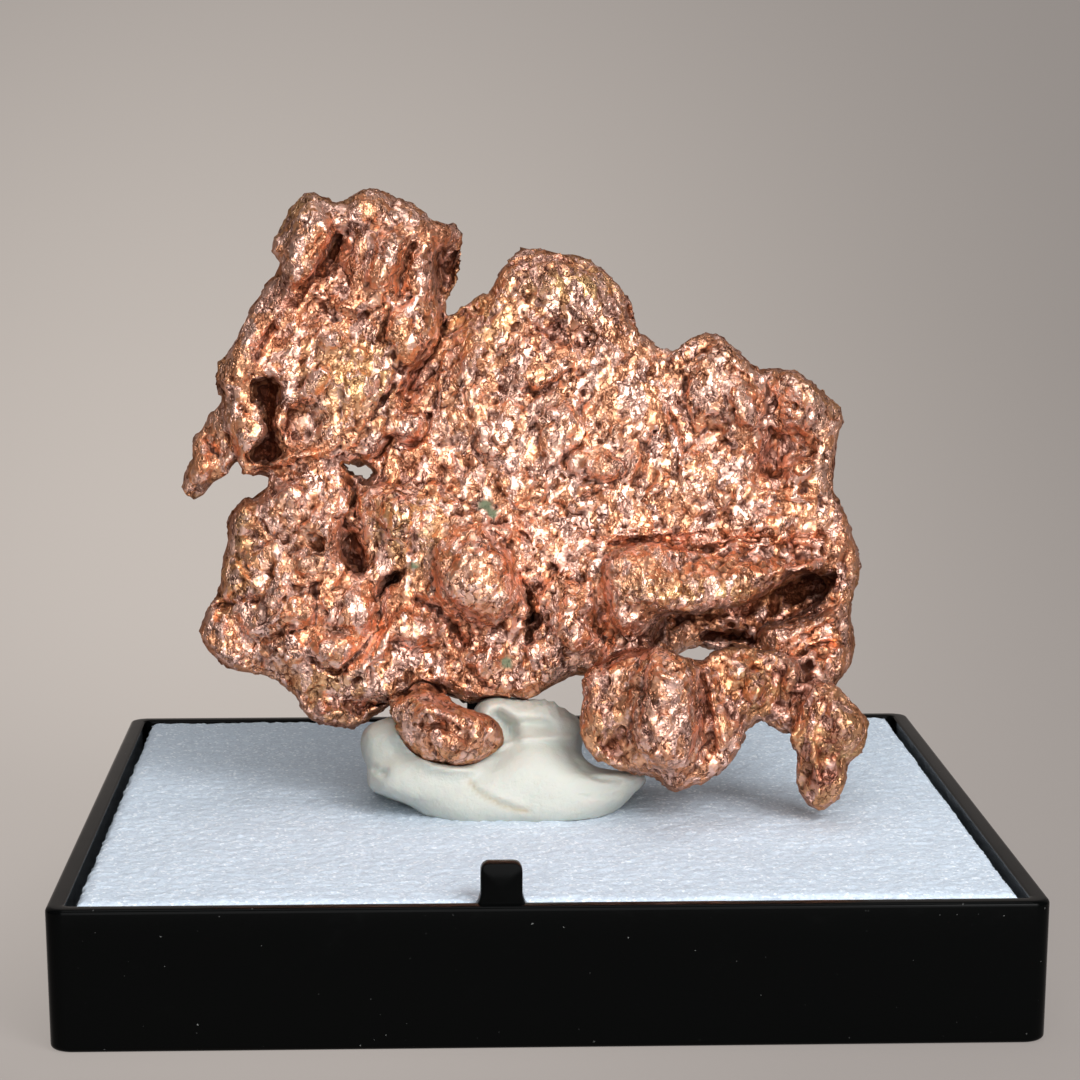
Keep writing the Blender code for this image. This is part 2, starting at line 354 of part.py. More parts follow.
def new_object(name, vertices, faces, finish=None):
    """A mesh object at the origin from coordinates and faces."""
    mesh = bpy.data.meshes.new(name)
    mesh.from_pydata([tuple(v) for v in vertices], [], [tuple(f) for f in faces])
    mesh.update()
    thing = bpy.data.objects.new(name, mesh)
    bpy.context.scene.collection.objects.link(thing)
    if finish:
        mesh.materials.append(finish)
    return thing


def evaluated_mesh(thing):
    """The object's mesh with its modifiers worked out."""
    graph = bpy.context.evaluated_depsgraph_get()
    return bpy.data.meshes.new_from_object(thing.evaluated_get(graph))


def mesh_arrays(mesh):
    """Vertex coordinates and vertex normals as arrays."""
    count = len(mesh.vertices)
    points = np.empty(count * 3, dtype=np.float32)
    mesh.vertices.foreach_get("co", points)
    normals = np.empty(count * 3, dtype=np.float32)
    mesh.vertices.foreach_get("normal", normals)
    return points.reshape(-1, 3).astype(float), normals.reshape(-1, 3).astype(float)


def resampled_outline(outline, spacing=0.25):
    """A closed outline with points at even spacing along it."""
    corners = np.array(outline + outline[:1], dtype=float)
    steps = np.linalg.norm(np.diff(corners, axis=0), axis=1)
    along = np.concatenate([[0.0], np.cumsum(steps)])
    count = max(16, int(along[-1] / spacing))
    wanted = np.linspace(0.0, along[-1], count, endpoint=False)
    return np.column_stack([np.interp(wanted, along, corners[:, axis]) for axis in (0, 1)])


def mass_surface(centre, front, back, radius, slope_x, slope_z, crown, outline):
    """A closed cushion round an outline: rings from the front pole over the rim to the back pole.

    Each ring is the outline drawn in toward the centre. The rim is a half round of the given radius,
    and the front face stands forward by the crown at its middle and leans by its two slopes.
    """
    rim = resampled_outline(outline)
    middle = np.array(centre)
    reach = np.linalg.norm(rim - middle, axis=1)
    direction = (rim - middle) / reach[:, None]
    radius = min(radius, (back - front) / 2.0)
    turns = np.radians(np.linspace(0.0, 90.0, 5))
    face = [(scale, radius, 0.0) for scale in (0.12, 0.4, 0.7)]
    edge = [(1.0, radius * (1.0 - math.sin(turn)), radius * (1.0 - math.cos(turn))) for turn in turns]
    half = face + edge
    rings = [(scale, inset, depth, 1.0) for scale, inset, depth in half]
    rings += [(scale, inset, depth, -1.0) for scale, inset, depth in reversed(half)]
    points = []
    for scale, inset, depth, side in rings:
        distance = np.maximum(reach - inset, 0.3 * reach) * scale
        flat = middle + direction * distance[:, None]
        forward = slope_x * (flat[:, 0] - middle[0]) + slope_z * (flat[:, 1] - middle[1])
        swell = crown * (1.0 - (distance / reach) ** 2)
        if side > 0.0:
            y = front + depth - forward - swell
        else:
            y = back - depth - forward
        points.append(np.column_stack([flat[:, 0], y, flat[:, 1]]))
    count = len(rim)
    poles = [points[0].mean(axis=0), points[-1].mean(axis=0)]
    vertices = np.vstack(points + [np.array(poles)])
    index = np.arange(count)
    after = (index + 1) % count
    faces = []
    for ring in range(len(rings) - 1):
        near = ring * count
        far = near + count
        faces += np.column_stack([near + index, far + index, far + after, near + after]).tolist()
    first_pole = len(rings) * count
    last_ring = (len(rings) - 1) * count
    faces += np.column_stack([np.full(count, first_pole), index, after]).tolist()
    faces += np.column_stack([np.full(count, first_pole + 1), last_ring + after,
                              last_ring + index]).tolist()
    return vertices, faces


def bridge_surface(stations, around=16):
    """A closed round bar whose radius changes from station to station."""
    path = np.array([station[:3] for station in stations])
    radii = np.array([station[3] for station in stations])
    tangent = np.gradient(path, axis=0)
    tangent /= np.linalg.norm(tangent, axis=1)[:, None]
    side = np.cross(tangent, (0.0, 0.0, 1.0))
    side /= np.linalg.norm(side, axis=1)[:, None]
    up = np.cross(side, tangent)
    angle = np.linspace(0.0, 2.0 * math.pi, around, endpoint=False)
    circle = (path[:, None, :] + radii[:, None, None]
              * (np.cos(angle)[None, :, None] * side[:, None, :]
                 + np.sin(angle)[None, :, None] * up[:, None, :]))
    ends = np.array([path[0] - tangent[0] * radii[0] * 0.5, path[-1] + tangent[-1] * radii[-1] * 0.5])
    vertices = np.vstack([circle.reshape(-1, 3), ends])
    index = np.arange(around)
    after = (index + 1) % around
    faces = []
    for ring in range(len(path) - 1):
        near = ring * around
        far = near + around
        faces += np.column_stack([near + index, far + index, far + after, near + after]).tolist()
    start = len(path) * around
    last = (len(path) - 1) * around
    faces += np.column_stack([np.full(around, start), after, index]).tolist()
    faces += np.column_stack([np.full(around, start + 1), last + index, last + after]).tolist()
    return vertices, faces


def fused(name, surfaces, voxel):
    """Join closed surfaces and fuse them into one skin on an even grid of the given size."""
    vertices = []
    faces = []
    offset = 0
    for points, quads in surfaces:
        vertices.append(points)
        faces += [[corner + offset for corner in quad] for quad in quads]
        offset += len(points)
    joined = new_object(name, np.vstack(vertices), faces)
    remesh = joined.modifiers.new("Fuse", "REMESH")
    remesh.mode = "VOXEL"
    remesh.voxel_size = voxel
    mesh = evaluated_mesh(joined)
    bpy.data.objects.remove(joined, do_unlink=True)
    return mesh


def stroke_push(flat, strokes):
    """How far each point is pushed: every stroke fades from its path to its half width."""
    total = np.zeros(len(flat))
    for push, width, path in strokes:
        corners = np.array(path, dtype=float)
        low = corners.min(axis=0) - width
        high = corners.max(axis=0) + width
        near = np.where(np.all((flat > low) & (flat < high), axis=1))[0]
        if not len(near):
            continue
        spots = flat[near]
        distance = np.full(len(near), np.inf)
        for start, end in zip(corners[:-1], corners[1:]):
            run = end - start
            share = np.clip(((spots - start) @ run) / max(run @ run, 1e-9), 0.0, 1.0)
            distance = np.minimum(distance, np.linalg.norm(spots - start - share[:, None] * run, axis=1))
        fade = np.clip(1.0 - (distance / width) ** 2, 0.0, 1.0) ** 2
        total[near] += push * fade
    return total


def lattice_noise(points, size, seed):
    """Smooth noise of about -1 to 1: random values on a cubic lattice, blended between its corners."""
    table = np.random.default_rng(seed).uniform(-1.0, 1.0, (32, 32, 32))
    scaled = points / size
    cell = np.floor(scaled).astype(int)
    part = scaled - cell
    part = part * part * (3.0 - 2.0 * part)
    value = np.zeros(len(points))
    for corner in range(8):
        step = np.array([corner & 1, (corner >> 1) & 1, (corner >> 2) & 1])
        weight = np.prod(np.where(step, part, 1.0 - part), axis=1)
        place = (cell + step) % 32
        value += weight * table[place[:, 0], place[:, 1], place[:, 2]]
    return value


def carried(points):
    """Move each drawn point along its line of sight from the drawing plane to its own depth."""
    eye = np.array(EYE)
    scale = (points[:, 1] - eye[1]) / (DRAWING_DEPTH - eye[1])
    moved = points.copy()
    for axis in (0, 2):
        moved[:, axis] = eye[axis] + (points[:, axis] - eye[axis]) * scale
    moved[:, 2] += DRAWING_LIFT
    return moved


def set_points(mesh, points):
    """Write coordinates back into a mesh."""
    mesh.vertices.foreach_set("co", np.ascontiguousarray(points, dtype=np.float32).ravel())
    mesh.update()


def largest_shell(mesh):
    """Keep the biggest connected shell and drop specks left inside by the fusing."""
    shape = bmesh.new()
    shape.from_mesh(mesh)
    unseen = set(shape.verts)
    shells = []
    while unseen:
        seed = unseen.pop()
        shell = {seed}
        frontier = [seed]
        while frontier:
            vertex = frontier.pop()
            for edge in vertex.link_edges:
                other = edge.other_vert(vertex)
                if other in unseen:
                    unseen.discard(other)
                    shell.add(other)
                    frontier.append(other)
        shells.append(shell)
    shells.sort(key=len, reverse=True)
    spare = [vertex for shell in shells[1:] for vertex in shell]
    bmesh.ops.delete(shape, geom=spare, context="VERTS")
    shape.to_mesh(mesh)
    shape.free()
    mesh.update()


def thin_to(thing, triangles):
    """Leave a Decimate modifier that brings the object to about the given number of triangles."""
    faces = sum(len(polygon.vertices) - 2 for polygon in thing.data.polygons)
    thin = thing.modifiers.new("Thin", "DECIMATE")
    thin.ratio = min(1.0, triangles / faces)
    thin.use_collapse_triangulate = True


def copper_nugget(finish):
    """The nugget: its masses fused into one skin, creased front and back, then thinned to facets."""
    surfaces = [mass_surface(*mass) for mass in MASSES]
    surfaces += [bridge_surface(bridge) for bridge in BRIDGES]
    mesh = fused("nugget_masses", surfaces, NUGGET_VOXEL)
    points, normals = mesh_arrays(mesh)
    flat = points[:, (0, 2)] + WANDER * np.column_stack(
        [lattice_noise(points, LUMP_SIZE, SEED + 2), lattice_noise(points, LUMP_SIZE, SEED + 3)])
    facing = np.clip(-normals[:, 1] * 1.6, -1.0, 1.0)
    push = stroke_push(flat, FRONT_STROKES) * np.clip(facing, 0.0, 1.0)
    pull = stroke_push(flat, BACK_STROKES) * np.clip(-facing, 0.0, 1.0)
    points[:, 1] += pull - push
    folds = 1.0 - 2.0 * np.abs(lattice_noise(points, LUMP_SIZE * 1.4, SEED + 4))
    lumps = LUMP_HEIGHT * (lattice_noise(points, LUMP_SIZE, SEED) + 0.6 * folds
                           + 0.6 * lattice_noise(points, LUMP_SIZE * 0.45, SEED + 1))
    points += normals * lumps[:, None]
    set_points(mesh, carried(points) * MM)
    largest_shell(mesh)
    nugget = bpy.data.objects.new("copper_nugget", mesh)
    bpy.context.scene.collection.objects.link(nugget)
    mesh.materials.clear()
    mesh.materials.append(finish)
    thin_to(nugget, NUGGET_TRIANGLES)
    return nugget


def rounded_square(half, corner, height):
    """A square loop with round corners at the given height, counter-clockwise seen from above."""
    points = []
    for quarter in range(4):
        for step in range(CORNER_STEPS + 1):
            angle = math.radians(90.0 * (quarter + step / CORNER_STEPS))
            across = (half - corner) * (1.0 if quarter in (0, 3) else -1.0)
            deep = (half - corner) * (1.0 if quarter in (0, 1) else -1.0)
            points.append((across + corner * math.cos(angle), deep + corner * math.sin(angle), height))
    return points


def lofted(name, loops, finish):
    """A closed solid through a stack of loops, with its first and last loop filled."""
    count = len(loops[0])
    vertices = [Vector(point) * MM for loop in loops for point in loop]
    faces = [tuple(reversed(range(count)))]
    for ring in range(len(loops) - 1):
        near = ring * count
        far = near + count
        faces += [(near + i, near + (i + 1) % count, far + (i + 1) % count, far + i)
                  for i in range(count)]
    last = (len(loops) - 1) * count
    faces.append(tuple(range(last, last + count)))
    return new_object(name, vertices, faces, finish)


def catch_tab(side):
    """One upright catch tab with round upper corners, its foot sunk in the wall."""
    half_box = BOX_SIDE / 2.0
    outer = half_box - TAB_SETBACK
    top = BASE_HEIGHT + TAB_RISE
    profile = [(-TAB_WIDTH / 2.0, TAB_FOOT), (TAB_WIDTH / 2.0, TAB_FOOT)]
    for step in range(4):
        angle = math.radians(90.0 * step / 3)
        profile.append((TAB_WIDTH / 2.0 - TAB_CORNER * (1.0 - math.cos(angle)),
                        top - TAB_CORNER * (1.0 - math.sin(angle))))
    for step in range(4):
        angle = math.radians(90.0 + 90.0 * step / 3)
        profile.append((-TAB_WIDTH / 2.0 + TAB_CORNER * (1.0 + math.cos(angle)),
                        top - TAB_CORNER * (1.0 - math.sin(angle))))
    count = len(profile)
    vertices = [(x + TAB_X, side * depth, z) for depth in (outer - TAB_DEPTH, outer) for x, z in profile]
    faces = [tuple(range(count)), tuple(range(2 * count - 1, count - 1, -1))]
    faces += [(i, i + count, (i + 1) % count + count, (i + 1) % count) for i in range(count)]
    tab = new_object("catch_tab_tool", [Vector(point) * MM for point in vertices], faces)
    shape = bmesh.new()
    shape.from_mesh(tab.data)
    bmesh.ops.recalc_face_normals(shape, faces=shape.faces)
    shape.to_mesh(tab.data)
    shape.free()
    as_tool(tab)
    return tab


def as_tool(thing):
    """Mark an object as a cutter or a guide, which isn't part of the model."""
    thing.hide_render = True
    thing.display_type = "WIRE"


def boolean(thing, tool, operation):
    """Add an exact Boolean with the tool to the object."""
    step = thing.modifiers.new(operation.title(), "BOOLEAN")
    step.operation = operation
    step.solver = "EXACT"
    step.object = tool


def box_base(finish):
    """The black tray: a tapered shell with rounded edges, walls, a floor and two catch tabs."""
    top = BOX_SIDE / 2.0
    bottom = top - BASE_TAPER
    inner = top - WALL
    well = inner - INNER_TAPER
    loops = [
        rounded_square(bottom - EDGE_ROUND, CORNER, 0.0),
        rounded_square(bottom - 0.3 * EDGE_ROUND, CORNER, 0.3 * EDGE_ROUND),
        rounded_square(bottom, CORNER, EDGE_ROUND),
        rounded_square(top, CORNER, BASE_HEIGHT - EDGE_ROUND),
        rounded_square(top - 0.3 * EDGE_ROUND, CORNER, BASE_HEIGHT - 0.3 * EDGE_ROUND),
        rounded_square(top - EDGE_ROUND, CORNER, BASE_HEIGHT),
        rounded_square(inner, CORNER * 0.5, BASE_HEIGHT),
        rounded_square(well, CORNER * 0.5, FLOOR),
    ]
    base = lofted("box_base", loops, finish)
    boolean(base, catch_tab(-1.0), "UNION")
    boolean(base, catch_tab(1.0), "UNION")
    return base


def foam_pad(finish):
    """The foam: a square slab that fills the tray, its cut top gently uneven."""
    half = BOX_SIDE / 2.0 - WALL - INNER_TAPER - CLEARANCE
    floor = FLOOR + CLEARANCE
    shape = bmesh.new()
    bmesh.ops.create_grid(shape, x_segments=FOAM_CELLS, y_segments=FOAM_CELLS, size=half * MM)
    bmesh.ops.translate(shape, verts=shape.verts, vec=(0.0, 0.0, BASE_HEIGHT * MM))
    extruded = bmesh.ops.extrude_face_region(shape, geom=list(shape.faces))
    for item in extruded["geom"]:
        if isinstance(item, bmesh.types.BMVert):
            item.co.z = floor * MM
    bmesh.ops.recalc_face_normals(shape, faces=shape.faces)
    mesh = bpy.data.meshes.new("foam_pad")
    shape.to_mesh(mesh)
    shape.free()
    points, _ = mesh_arrays(mesh)
    points /= MM
    on_top = points[:, 2] > floor + 0.1
    inside = np.max(np.abs(points[:, :2]), axis=1) < half - 0.1
    uneven = lattice_noise(points, 2.3, SEED + 5) * FOAM_ROUGHNESS
    points[:, 2] += np.where(on_top & inside, uneven, 0.0)
    points[:, 2] -= np.where(on_top & ~inside, FOAM_ROUGHNESS, 0.0)
    set_points(mesh, points * MM)
    pad = bpy.data.objects.new("foam_pad", mesh)
    bpy.context.scene.collection.objects.link(pad)
    mesh.materials.append(finish)
    return pad


def inflated_copy(source, distance):
    """A wire copy of an object, grown by a distance along its normals, to cut room with."""
    mesh = evaluated_mesh(source)
    points, normals = mesh_arrays(mesh)
    copy = bpy.data.objects.new("room_tool", mesh)
    bpy.context.scene.collection.objects.link(copy)
    set_points(mesh, points + normals * distance * MM)
    remesh = copy.modifiers.new("Even", "REMESH")
    remesh.mode = "VOXEL"
    remesh.voxel_size = ROOM_VOXEL * MM
    even = evaluated_mesh(copy)
    copy.modifiers.clear()
    copy.data = even
    as_tool(copy)
    return copy


def foot_cutter():
    """A block whose top is the level that the putty stands at."""
    bpy.ops.mesh.primitive_cube_add(size=2.0 * BOX_SIDE * MM)
    cutter = bpy.context.object
    cutter.name = "foot_tool"
    cutter.location.z = (BASE_HEIGHT + FOAM_ROUGHNESS + CLEARANCE - BOX_SIDE) * MM
    as_tool(cutter)
    return cutter


def mounting_putty(finish, nugget):
    """The putty: fused masses, cut flat below and hollowed where the nugget is pressed in."""
    surfaces = [mass_surface(*mass) for mass in PUTTY_MASSES]
    mesh = fused("putty_masses", surfaces, PUTTY_VOXEL)
    points, normals = mesh_arrays(mesh)
    lumps = 0.08 * lattice_noise(points, 1.6, SEED + 9)
    points += normals * lumps[:, None]
    set_points(mesh, carried(points) * MM)
    putty = bpy.data.objects.new("mounting_putty", mesh)
    bpy.context.scene.collection.objects.link(putty)
    mesh.materials.clear()
    mesh.materials.append(finish)
    boolean(putty, foot_cutter(), "DIFFERENCE")
    boolean(putty, inflated_copy(nugget, CLEARANCE + 0.08), "DIFFERENCE")
    cut = evaluated_mesh(putty)
    putty.modifiers.clear()
    putty.data = cut
    largest_shell(cut)
    thin_to(putty, PUTTY_TRIANGLES)
    return putty


def main():
    """Build every piece."""
    clear_scene()
    copper = material("native_copper", COPPER, 0.35, 1.0)
    putty_white = material("off_white_putty", PUTTY_WHITE, 0.6)
    foam_white = material("white_foam", FOAM_WHITE, 0.9)
    black = material("black_plastic", BLACK, 0.15)
    box_base(black)
    foam_pad(foam_white)
    nugget = copper_nugget(copper)
    mounting_putty(putty_white, nugget)


main()
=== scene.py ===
"""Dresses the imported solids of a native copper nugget, its putty, its foam pad and its box base.

The file is laid out as a Blender add-on and is run as a script. Lengths in the property groups and in
the drawing are millimetres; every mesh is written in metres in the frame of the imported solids.
The nugget and the putty are drawn as front views: outlines and strokes are points (x, z) on the plane
y = DRAWING_DEPTH, and every point is carried along its line of sight from EYE to its own depth.
"""

import math

import bmesh
import bpy
import numpy as np
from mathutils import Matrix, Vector


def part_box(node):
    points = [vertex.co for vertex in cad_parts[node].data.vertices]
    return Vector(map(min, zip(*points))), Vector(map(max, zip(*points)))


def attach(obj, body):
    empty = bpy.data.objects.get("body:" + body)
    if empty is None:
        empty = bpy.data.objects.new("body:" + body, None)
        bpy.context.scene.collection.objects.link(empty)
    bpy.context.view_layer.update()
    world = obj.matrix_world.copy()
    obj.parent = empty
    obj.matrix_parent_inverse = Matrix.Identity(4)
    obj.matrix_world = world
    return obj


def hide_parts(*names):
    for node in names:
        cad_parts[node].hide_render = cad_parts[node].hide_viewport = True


bl_info = {
    "name": "Copper Nugget Specimen",
    "version": (1, 0, 0),
    "blender": (4, 5, 0),
    "location": "3D View > Sidebar > Specimen",
    "description": "Builds the nugget, putty, foam pad and box base of a native copper specimen",
    "category": "Add Mesh",
}

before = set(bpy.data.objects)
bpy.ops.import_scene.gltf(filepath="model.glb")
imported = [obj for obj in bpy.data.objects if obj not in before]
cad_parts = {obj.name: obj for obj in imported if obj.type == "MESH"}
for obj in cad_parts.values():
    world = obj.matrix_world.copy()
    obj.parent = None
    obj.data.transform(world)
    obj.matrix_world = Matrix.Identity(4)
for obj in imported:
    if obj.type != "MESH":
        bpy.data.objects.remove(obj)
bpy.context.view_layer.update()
MM = 0.001
BODY = "root"
SEED = 7
BASE_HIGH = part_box("box_base")[1]
FOAM_LOW, FOAM_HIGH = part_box("foam_pad")

# Where the front view is drawn from, and the plane it is drawn on
EYE = (-3.95, -115.37, 29.73)
DRAWING_DEPTH = -2.0
DRAWING_LIFT = 0.17

NUGGET = "native_copper_nugget"


def xz(*numbers):
    """Points (x, z) of the drawing from their numbers in turn."""
    return list(zip(numbers[::2], numbers[1::2]))


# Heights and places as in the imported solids
TRAY_HEIGHT = 4.64
FOAM_LEVEL = 4.62
TAB_CENTRE = -1.53

# The tray: width of the rim, depth of the floor, how far in and how high over the floor its inner
# wall's rings lie, round corners outside and inside, soft edges
RIM_WIDTH = 0.6
TRAY_FLOOR = 1.0
TRAY_INSIDE = ((0.1, 0.6), (0.15, 0.05), (0.25, 0.0))
CORNER = 0.6
INNER_CORNER = 0.3
FOOT_EDGE = 0.2
RIM_EDGE = 0.15
INNER_EDGE = 0.1
WALL_TAPER = 0.08

# The catch tabs: width, round at the upper corners, the foot's spread at each height, the height they
# are drawn in toward, how far in they stand, depths of the steps under the outer face and the draw there
TAB_WIDTH = 1.33
TAB_ROUND = 0.28
TAB_FOOT = ((0.18, 1.6), (0.18, 4.5), (0.07, 4.68), (0.0, 4.95))
TAB_MIDDLE = 4.0
TAB_INSET = 0.38
TAB_DEPTHS = (0.62, 0.60, 0.53, 0.09, 0.02, 0.0)
TAB_SHRINKS = (0.10, 0.03, 0.0, 0.0, 0.03, 0.10)

# The putty: pitch of its ribs, their height, and the patch of crest that has them
PUTTY_RIB = 0.3
PUTTY_RIB_HEIGHT = 0.045
PUTTY_CREST = ((0.3, 8.25, 1.15, 0.4, 1.0),)

# The foam: how far it spreads past its solid, how low its sides reach under that, size of its open
# cells and of its grains of colour, how low each ring of its sides lies under the rim, and the patch
# that the putty presses flat
FOAM_SPREAD = 0.62
FOAM_SINK = 0.28
FOAM_CELL = 0.34
FOAM_GRAIN = 0.085
FOAM_DROPS = (0.10, 0.25, 0.5, 0.9, 1.4, 2.2, 3.0)
FOAM_PRESSED = ((-1.0, 0.0, 4.2, 2.6, 1.0),)

# Outlines of the nugget's masses
TOWER = xz(
    -7.73, 26.47, -7.55, 26.26, -7.28, 26.1, -7.07, 25.92, -6.81, 25.84, -6.58, 26.02, -6.32, 26.22,
    -6.0, 26.4, -5.7, 26.39, -5.4, 26.33, -5.12, 26.22, -4.92, 26.14, -4.76, 26.0, -4.25, 25.99,
    -4.04, 25.86, -3.78, 25.6, -3.58, 25.5, -3.11, 25.4, -2.8, 25.32, -2.64, 25.19, -2.59, 24.83,
    -2.51, 24.49, -2.64, 24.15, -2.75, 23.84, -2.8, 23.38, -2.88, 23.07, -3.1, 22.76, -3.22, 22.5,
    -3.28, 22.24, -3.33, 22.06, -3.28, 21.88, -3.3, 21.62, -3.35, 21.28, -3.6, 20.92, -3.72, 20.6,
    -3.98, 20.24, -4.13, 20.04, -4.4, 19.88, -4.55, 19.62, -4.75, 19.3, -4.7, 18.6, -4.8, 17.8, -5.2, 17.2,
    -5.8, 16.82, -6.5, 16.9, -7.1, 16.98, -7.35, 17.14, -7.85, 17.2, -8.25, 16.98, -8.75, 17.0,
    -9.16, 16.66, -9.47, 16.61, -9.78, 16.54, -10.1, 16.56, -10.26, 16.82, -10.28, 17.06, -10.5, 17.6,
    -10.8, 18.4, -10.9, 18.99, -10.92, 19.25, -10.99, 19.54, -11.2, 19.8, -11.26, 19.98, -11.18, 20.19,
    -10.94, 20.45, -10.7, 20.87, -10.43, 21.24, -10.12, 21.7, -9.97, 22.1, -9.79, 22.49, -9.52, 22.75,
    -9.28, 23.07, -9.18, 23.38, -8.97, 23.54, -8.8, 23.75, -8.77, 23.96, -8.92, 24.11, -9.07, 24.38,
    -9.07, 24.58, -8.92, 24.9, -8.7, 25.16, -8.6, 25.42, -8.44, 25.78, -8.2, 26.05, -7.92, 26.28
)
TAIL = xz(
    -10.9, 18.99, -11.13, 18.86, -11.37, 18.7, -11.48, 18.46, -11.45, 18.15, -11.65, 17.96, -11.86, 17.86,
    -11.96, 17.57, -11.87, 17.25, -12.0, 16.94, -12.2, 16.62, -12.3, 16.36, -12.27, 15.99, -12.1, 15.77,
    -11.83, 15.7, -11.7, 15.82, -11.6, 16.03, -11.45, 16.27, -11.1, 16.4, -10.78, 16.61, -10.57, 16.88,
    -10.42, 17.14, -10.1, 17.3, -9.6, 17.7, -9.5, 18.2, -9.7, 18.9, -10.2, 19.2, -10.6, 19.2
)
MAIN_PLATE = xz(
    -3.16, 22.0, -2.85, 22.08, -2.54, 22.32, -2.33, 22.37, -2.02, 22.58, -1.77, 22.63, -1.56, 22.78,
    -1.48, 22.91, -1.43, 23.22, -1.25, 23.48, -1.04, 23.79, -0.96, 24.02, -0.73, 24.23, -0.47, 24.36,
    -0.26, 24.41, 0.0, 24.36, 0.4, 24.3, 0.76, 24.26, 1.02, 24.16, 1.43, 24.17, 1.75, 24.11, 2.06, 23.93,
    2.37, 23.67, 2.63, 23.39, 2.84, 23.18, 3.04, 22.92, 3.3, 22.66, 3.56, 22.35, 3.67, 22.11, 3.56, 21.88,
    3.43, 21.7, 3.5, 21.46, 3.87, 21.32, 4.03, 21.1, 4.2, 20.91, 4.5, 20.75, 4.73, 20.69, 4.92, 20.83,
    5.18, 21.06, 5.47, 21.26, 5.75, 21.38, 6.0, 21.41, 6.35, 21.36, 6.65, 21.2, 6.8, 21.09, 7.05, 20.88,
    7.36, 20.55, 7.67, 20.34, 7.85, 20.13, 8.08, 20.14, 8.29, 20.06, 8.44, 19.9, 8.65, 20.03, 8.9, 20.12,
    9.17, 20.06, 9.42, 19.85, 9.73, 19.75, 9.99, 19.54, 10.25, 19.18, 10.46, 18.82, 10.62, 18.41,
    10.69, 18.05, 10.66, 17.58, 10.49, 17.11, 10.55, 16.7, 10.48, 16.39, 10.41, 16.13, 10.5, 15.68,
    10.72, 15.43, 10.94, 15.02, 11.07, 14.61, 11.18, 14.2, 11.33, 13.74, 11.38, 13.43, 11.2, 12.9,
    10.2, 12.9, 8.0, 13.0, 6.0, 12.8, 4.6, 12.5, 2.0, 12.3, -1.0, 12.5, -3.5, 12.9, -5.2, 13.4, -5.85, 14.8,
    -6.02, 15.7, -6.0, 16.25, -5.83, 16.4, -5.75, 17.0, -5.4, 17.6, -5.2, 18.6, -4.5, 19.2, -4.16, 19.7,
    -3.76, 20.12, -3.32, 20.66, -3.05, 21.3
)
LEFT_PLATE = xz(
    -5.33, 8.24, -5.5, 8.05, -5.73, 7.92, -6.05, 7.76, -6.3, 7.65, -6.6, 7.59, -7.06, 7.56, -7.71, 7.71,
    -8.16, 8.04, -8.44, 8.61, -9.01, 9.19, -9.35, 9.4, -9.65, 9.5, -10.02, 9.66, -10.33, 9.72, -10.69, 9.72,
    -10.95, 9.8, -11.16, 10.01, -11.42, 10.2, -11.57, 10.38, -11.7, 10.65, -11.75, 10.92, -11.7, 11.28,
    -11.63, 11.6, -11.5, 11.81, -11.28, 11.79, -11.15, 11.93, -11.09, 12.3, -10.95, 12.72, -10.83, 13.14,
    -10.88, 13.57, -10.85, 13.88, -10.77, 14.25, -10.77, 14.63, -10.74, 15.0, -10.6, 15.2, -10.4, 15.43,
    -10.2, 15.6, -9.85, 15.67, -9.55, 15.8, -9.3, 16.08, -9.23, 16.29, -9.1, 16.5, -8.8, 16.65, -8.3, 16.8,
    -7.77, 17.0, -7.6, 17.02, -7.1, 16.9, -6.78, 16.8, -6.45, 16.64, -6.25, 16.4, -6.0, 16.25, -5.9, 15.5,
    -5.6, 14.8, -5.4, 14.0, -5.1, 13.2, -4.8, 12.4, -4.8, 11.6, -4.6, 10.8, -4.4, 10.0, -4.4, 9.0
)
MIDDLE = xz(
    -6.0, 16.0, -6.0, 15.4, -5.95, 14.8, -5.75, 13.9, -5.3, 13.3, -5.3, 12.3, -5.45, 11.6, -5.4, 11.1,
    -5.8, 10.6, -6.1, 9.8, -5.9, 8.9, -5.33, 8.36, -4.7, 8.62, -4.35, 8.78, -4.05, 8.97, -3.8, 9.1,
    -3.57, 9.03, -3.3, 8.9, -3.0, 8.66, -2.65, 8.5, -2.35, 8.34, -2.03, 8.48, -1.5, 8.6, -1.0, 8.63,
    -0.54, 8.52, -0.23, 8.55, 0.13, 8.73, 0.5, 8.94, 0.8, 9.15, 1.0, 9.31, 1.22, 9.4, 1.63, 9.41, 2.6, 9.3,
    3.6, 9.6, 4.0, 10.4, 4.42, 11.3, 4.58, 11.56, 4.7, 12.2, 4.6, 13.2, 3.5, 14.0, 1.5, 14.5, -1.0, 15.3,
    -3.5, 15.9, -5.2, 16.2
)
DOME = xz(
    -3.55, 13.2, -3.5, 13.9, -3.1, 14.4, -2.5, 14.75, -1.9, 14.7, -1.1, 14.2, -0.7, 13.4, -0.6, 12.8,
    -0.45, 12.2, -0.25, 11.6, -0.5, 11.1, -1.2, 11.05, -1.9, 11.25, -2.6, 11.3, -3.1, 11.6, -3.5, 12.2
)
SMALL_LOBE = xz(
    0.2, 12.9, 0.9, 13.2, 1.6, 13.1, 1.95, 12.4, 1.95, 11.5, 2.05, 10.8, 1.8, 10.1, 1.2, 9.9, 0.6, 10.2,
    0.3, 10.9, 0.15, 11.7
)
ROUND_LOBE = xz(
    2.15, 13.1, 2.25, 12.35, 2.36, 11.8, 2.57, 11.3, 2.82, 10.83, 3.03, 10.6, 3.5, 10.5, 3.76, 10.77,
    4.0, 11.03, 4.42, 11.3, 4.7, 11.7, 4.8, 12.5, 4.6, 13.3, 4.0, 13.9, 3.2, 13.95, 2.5, 13.7
)
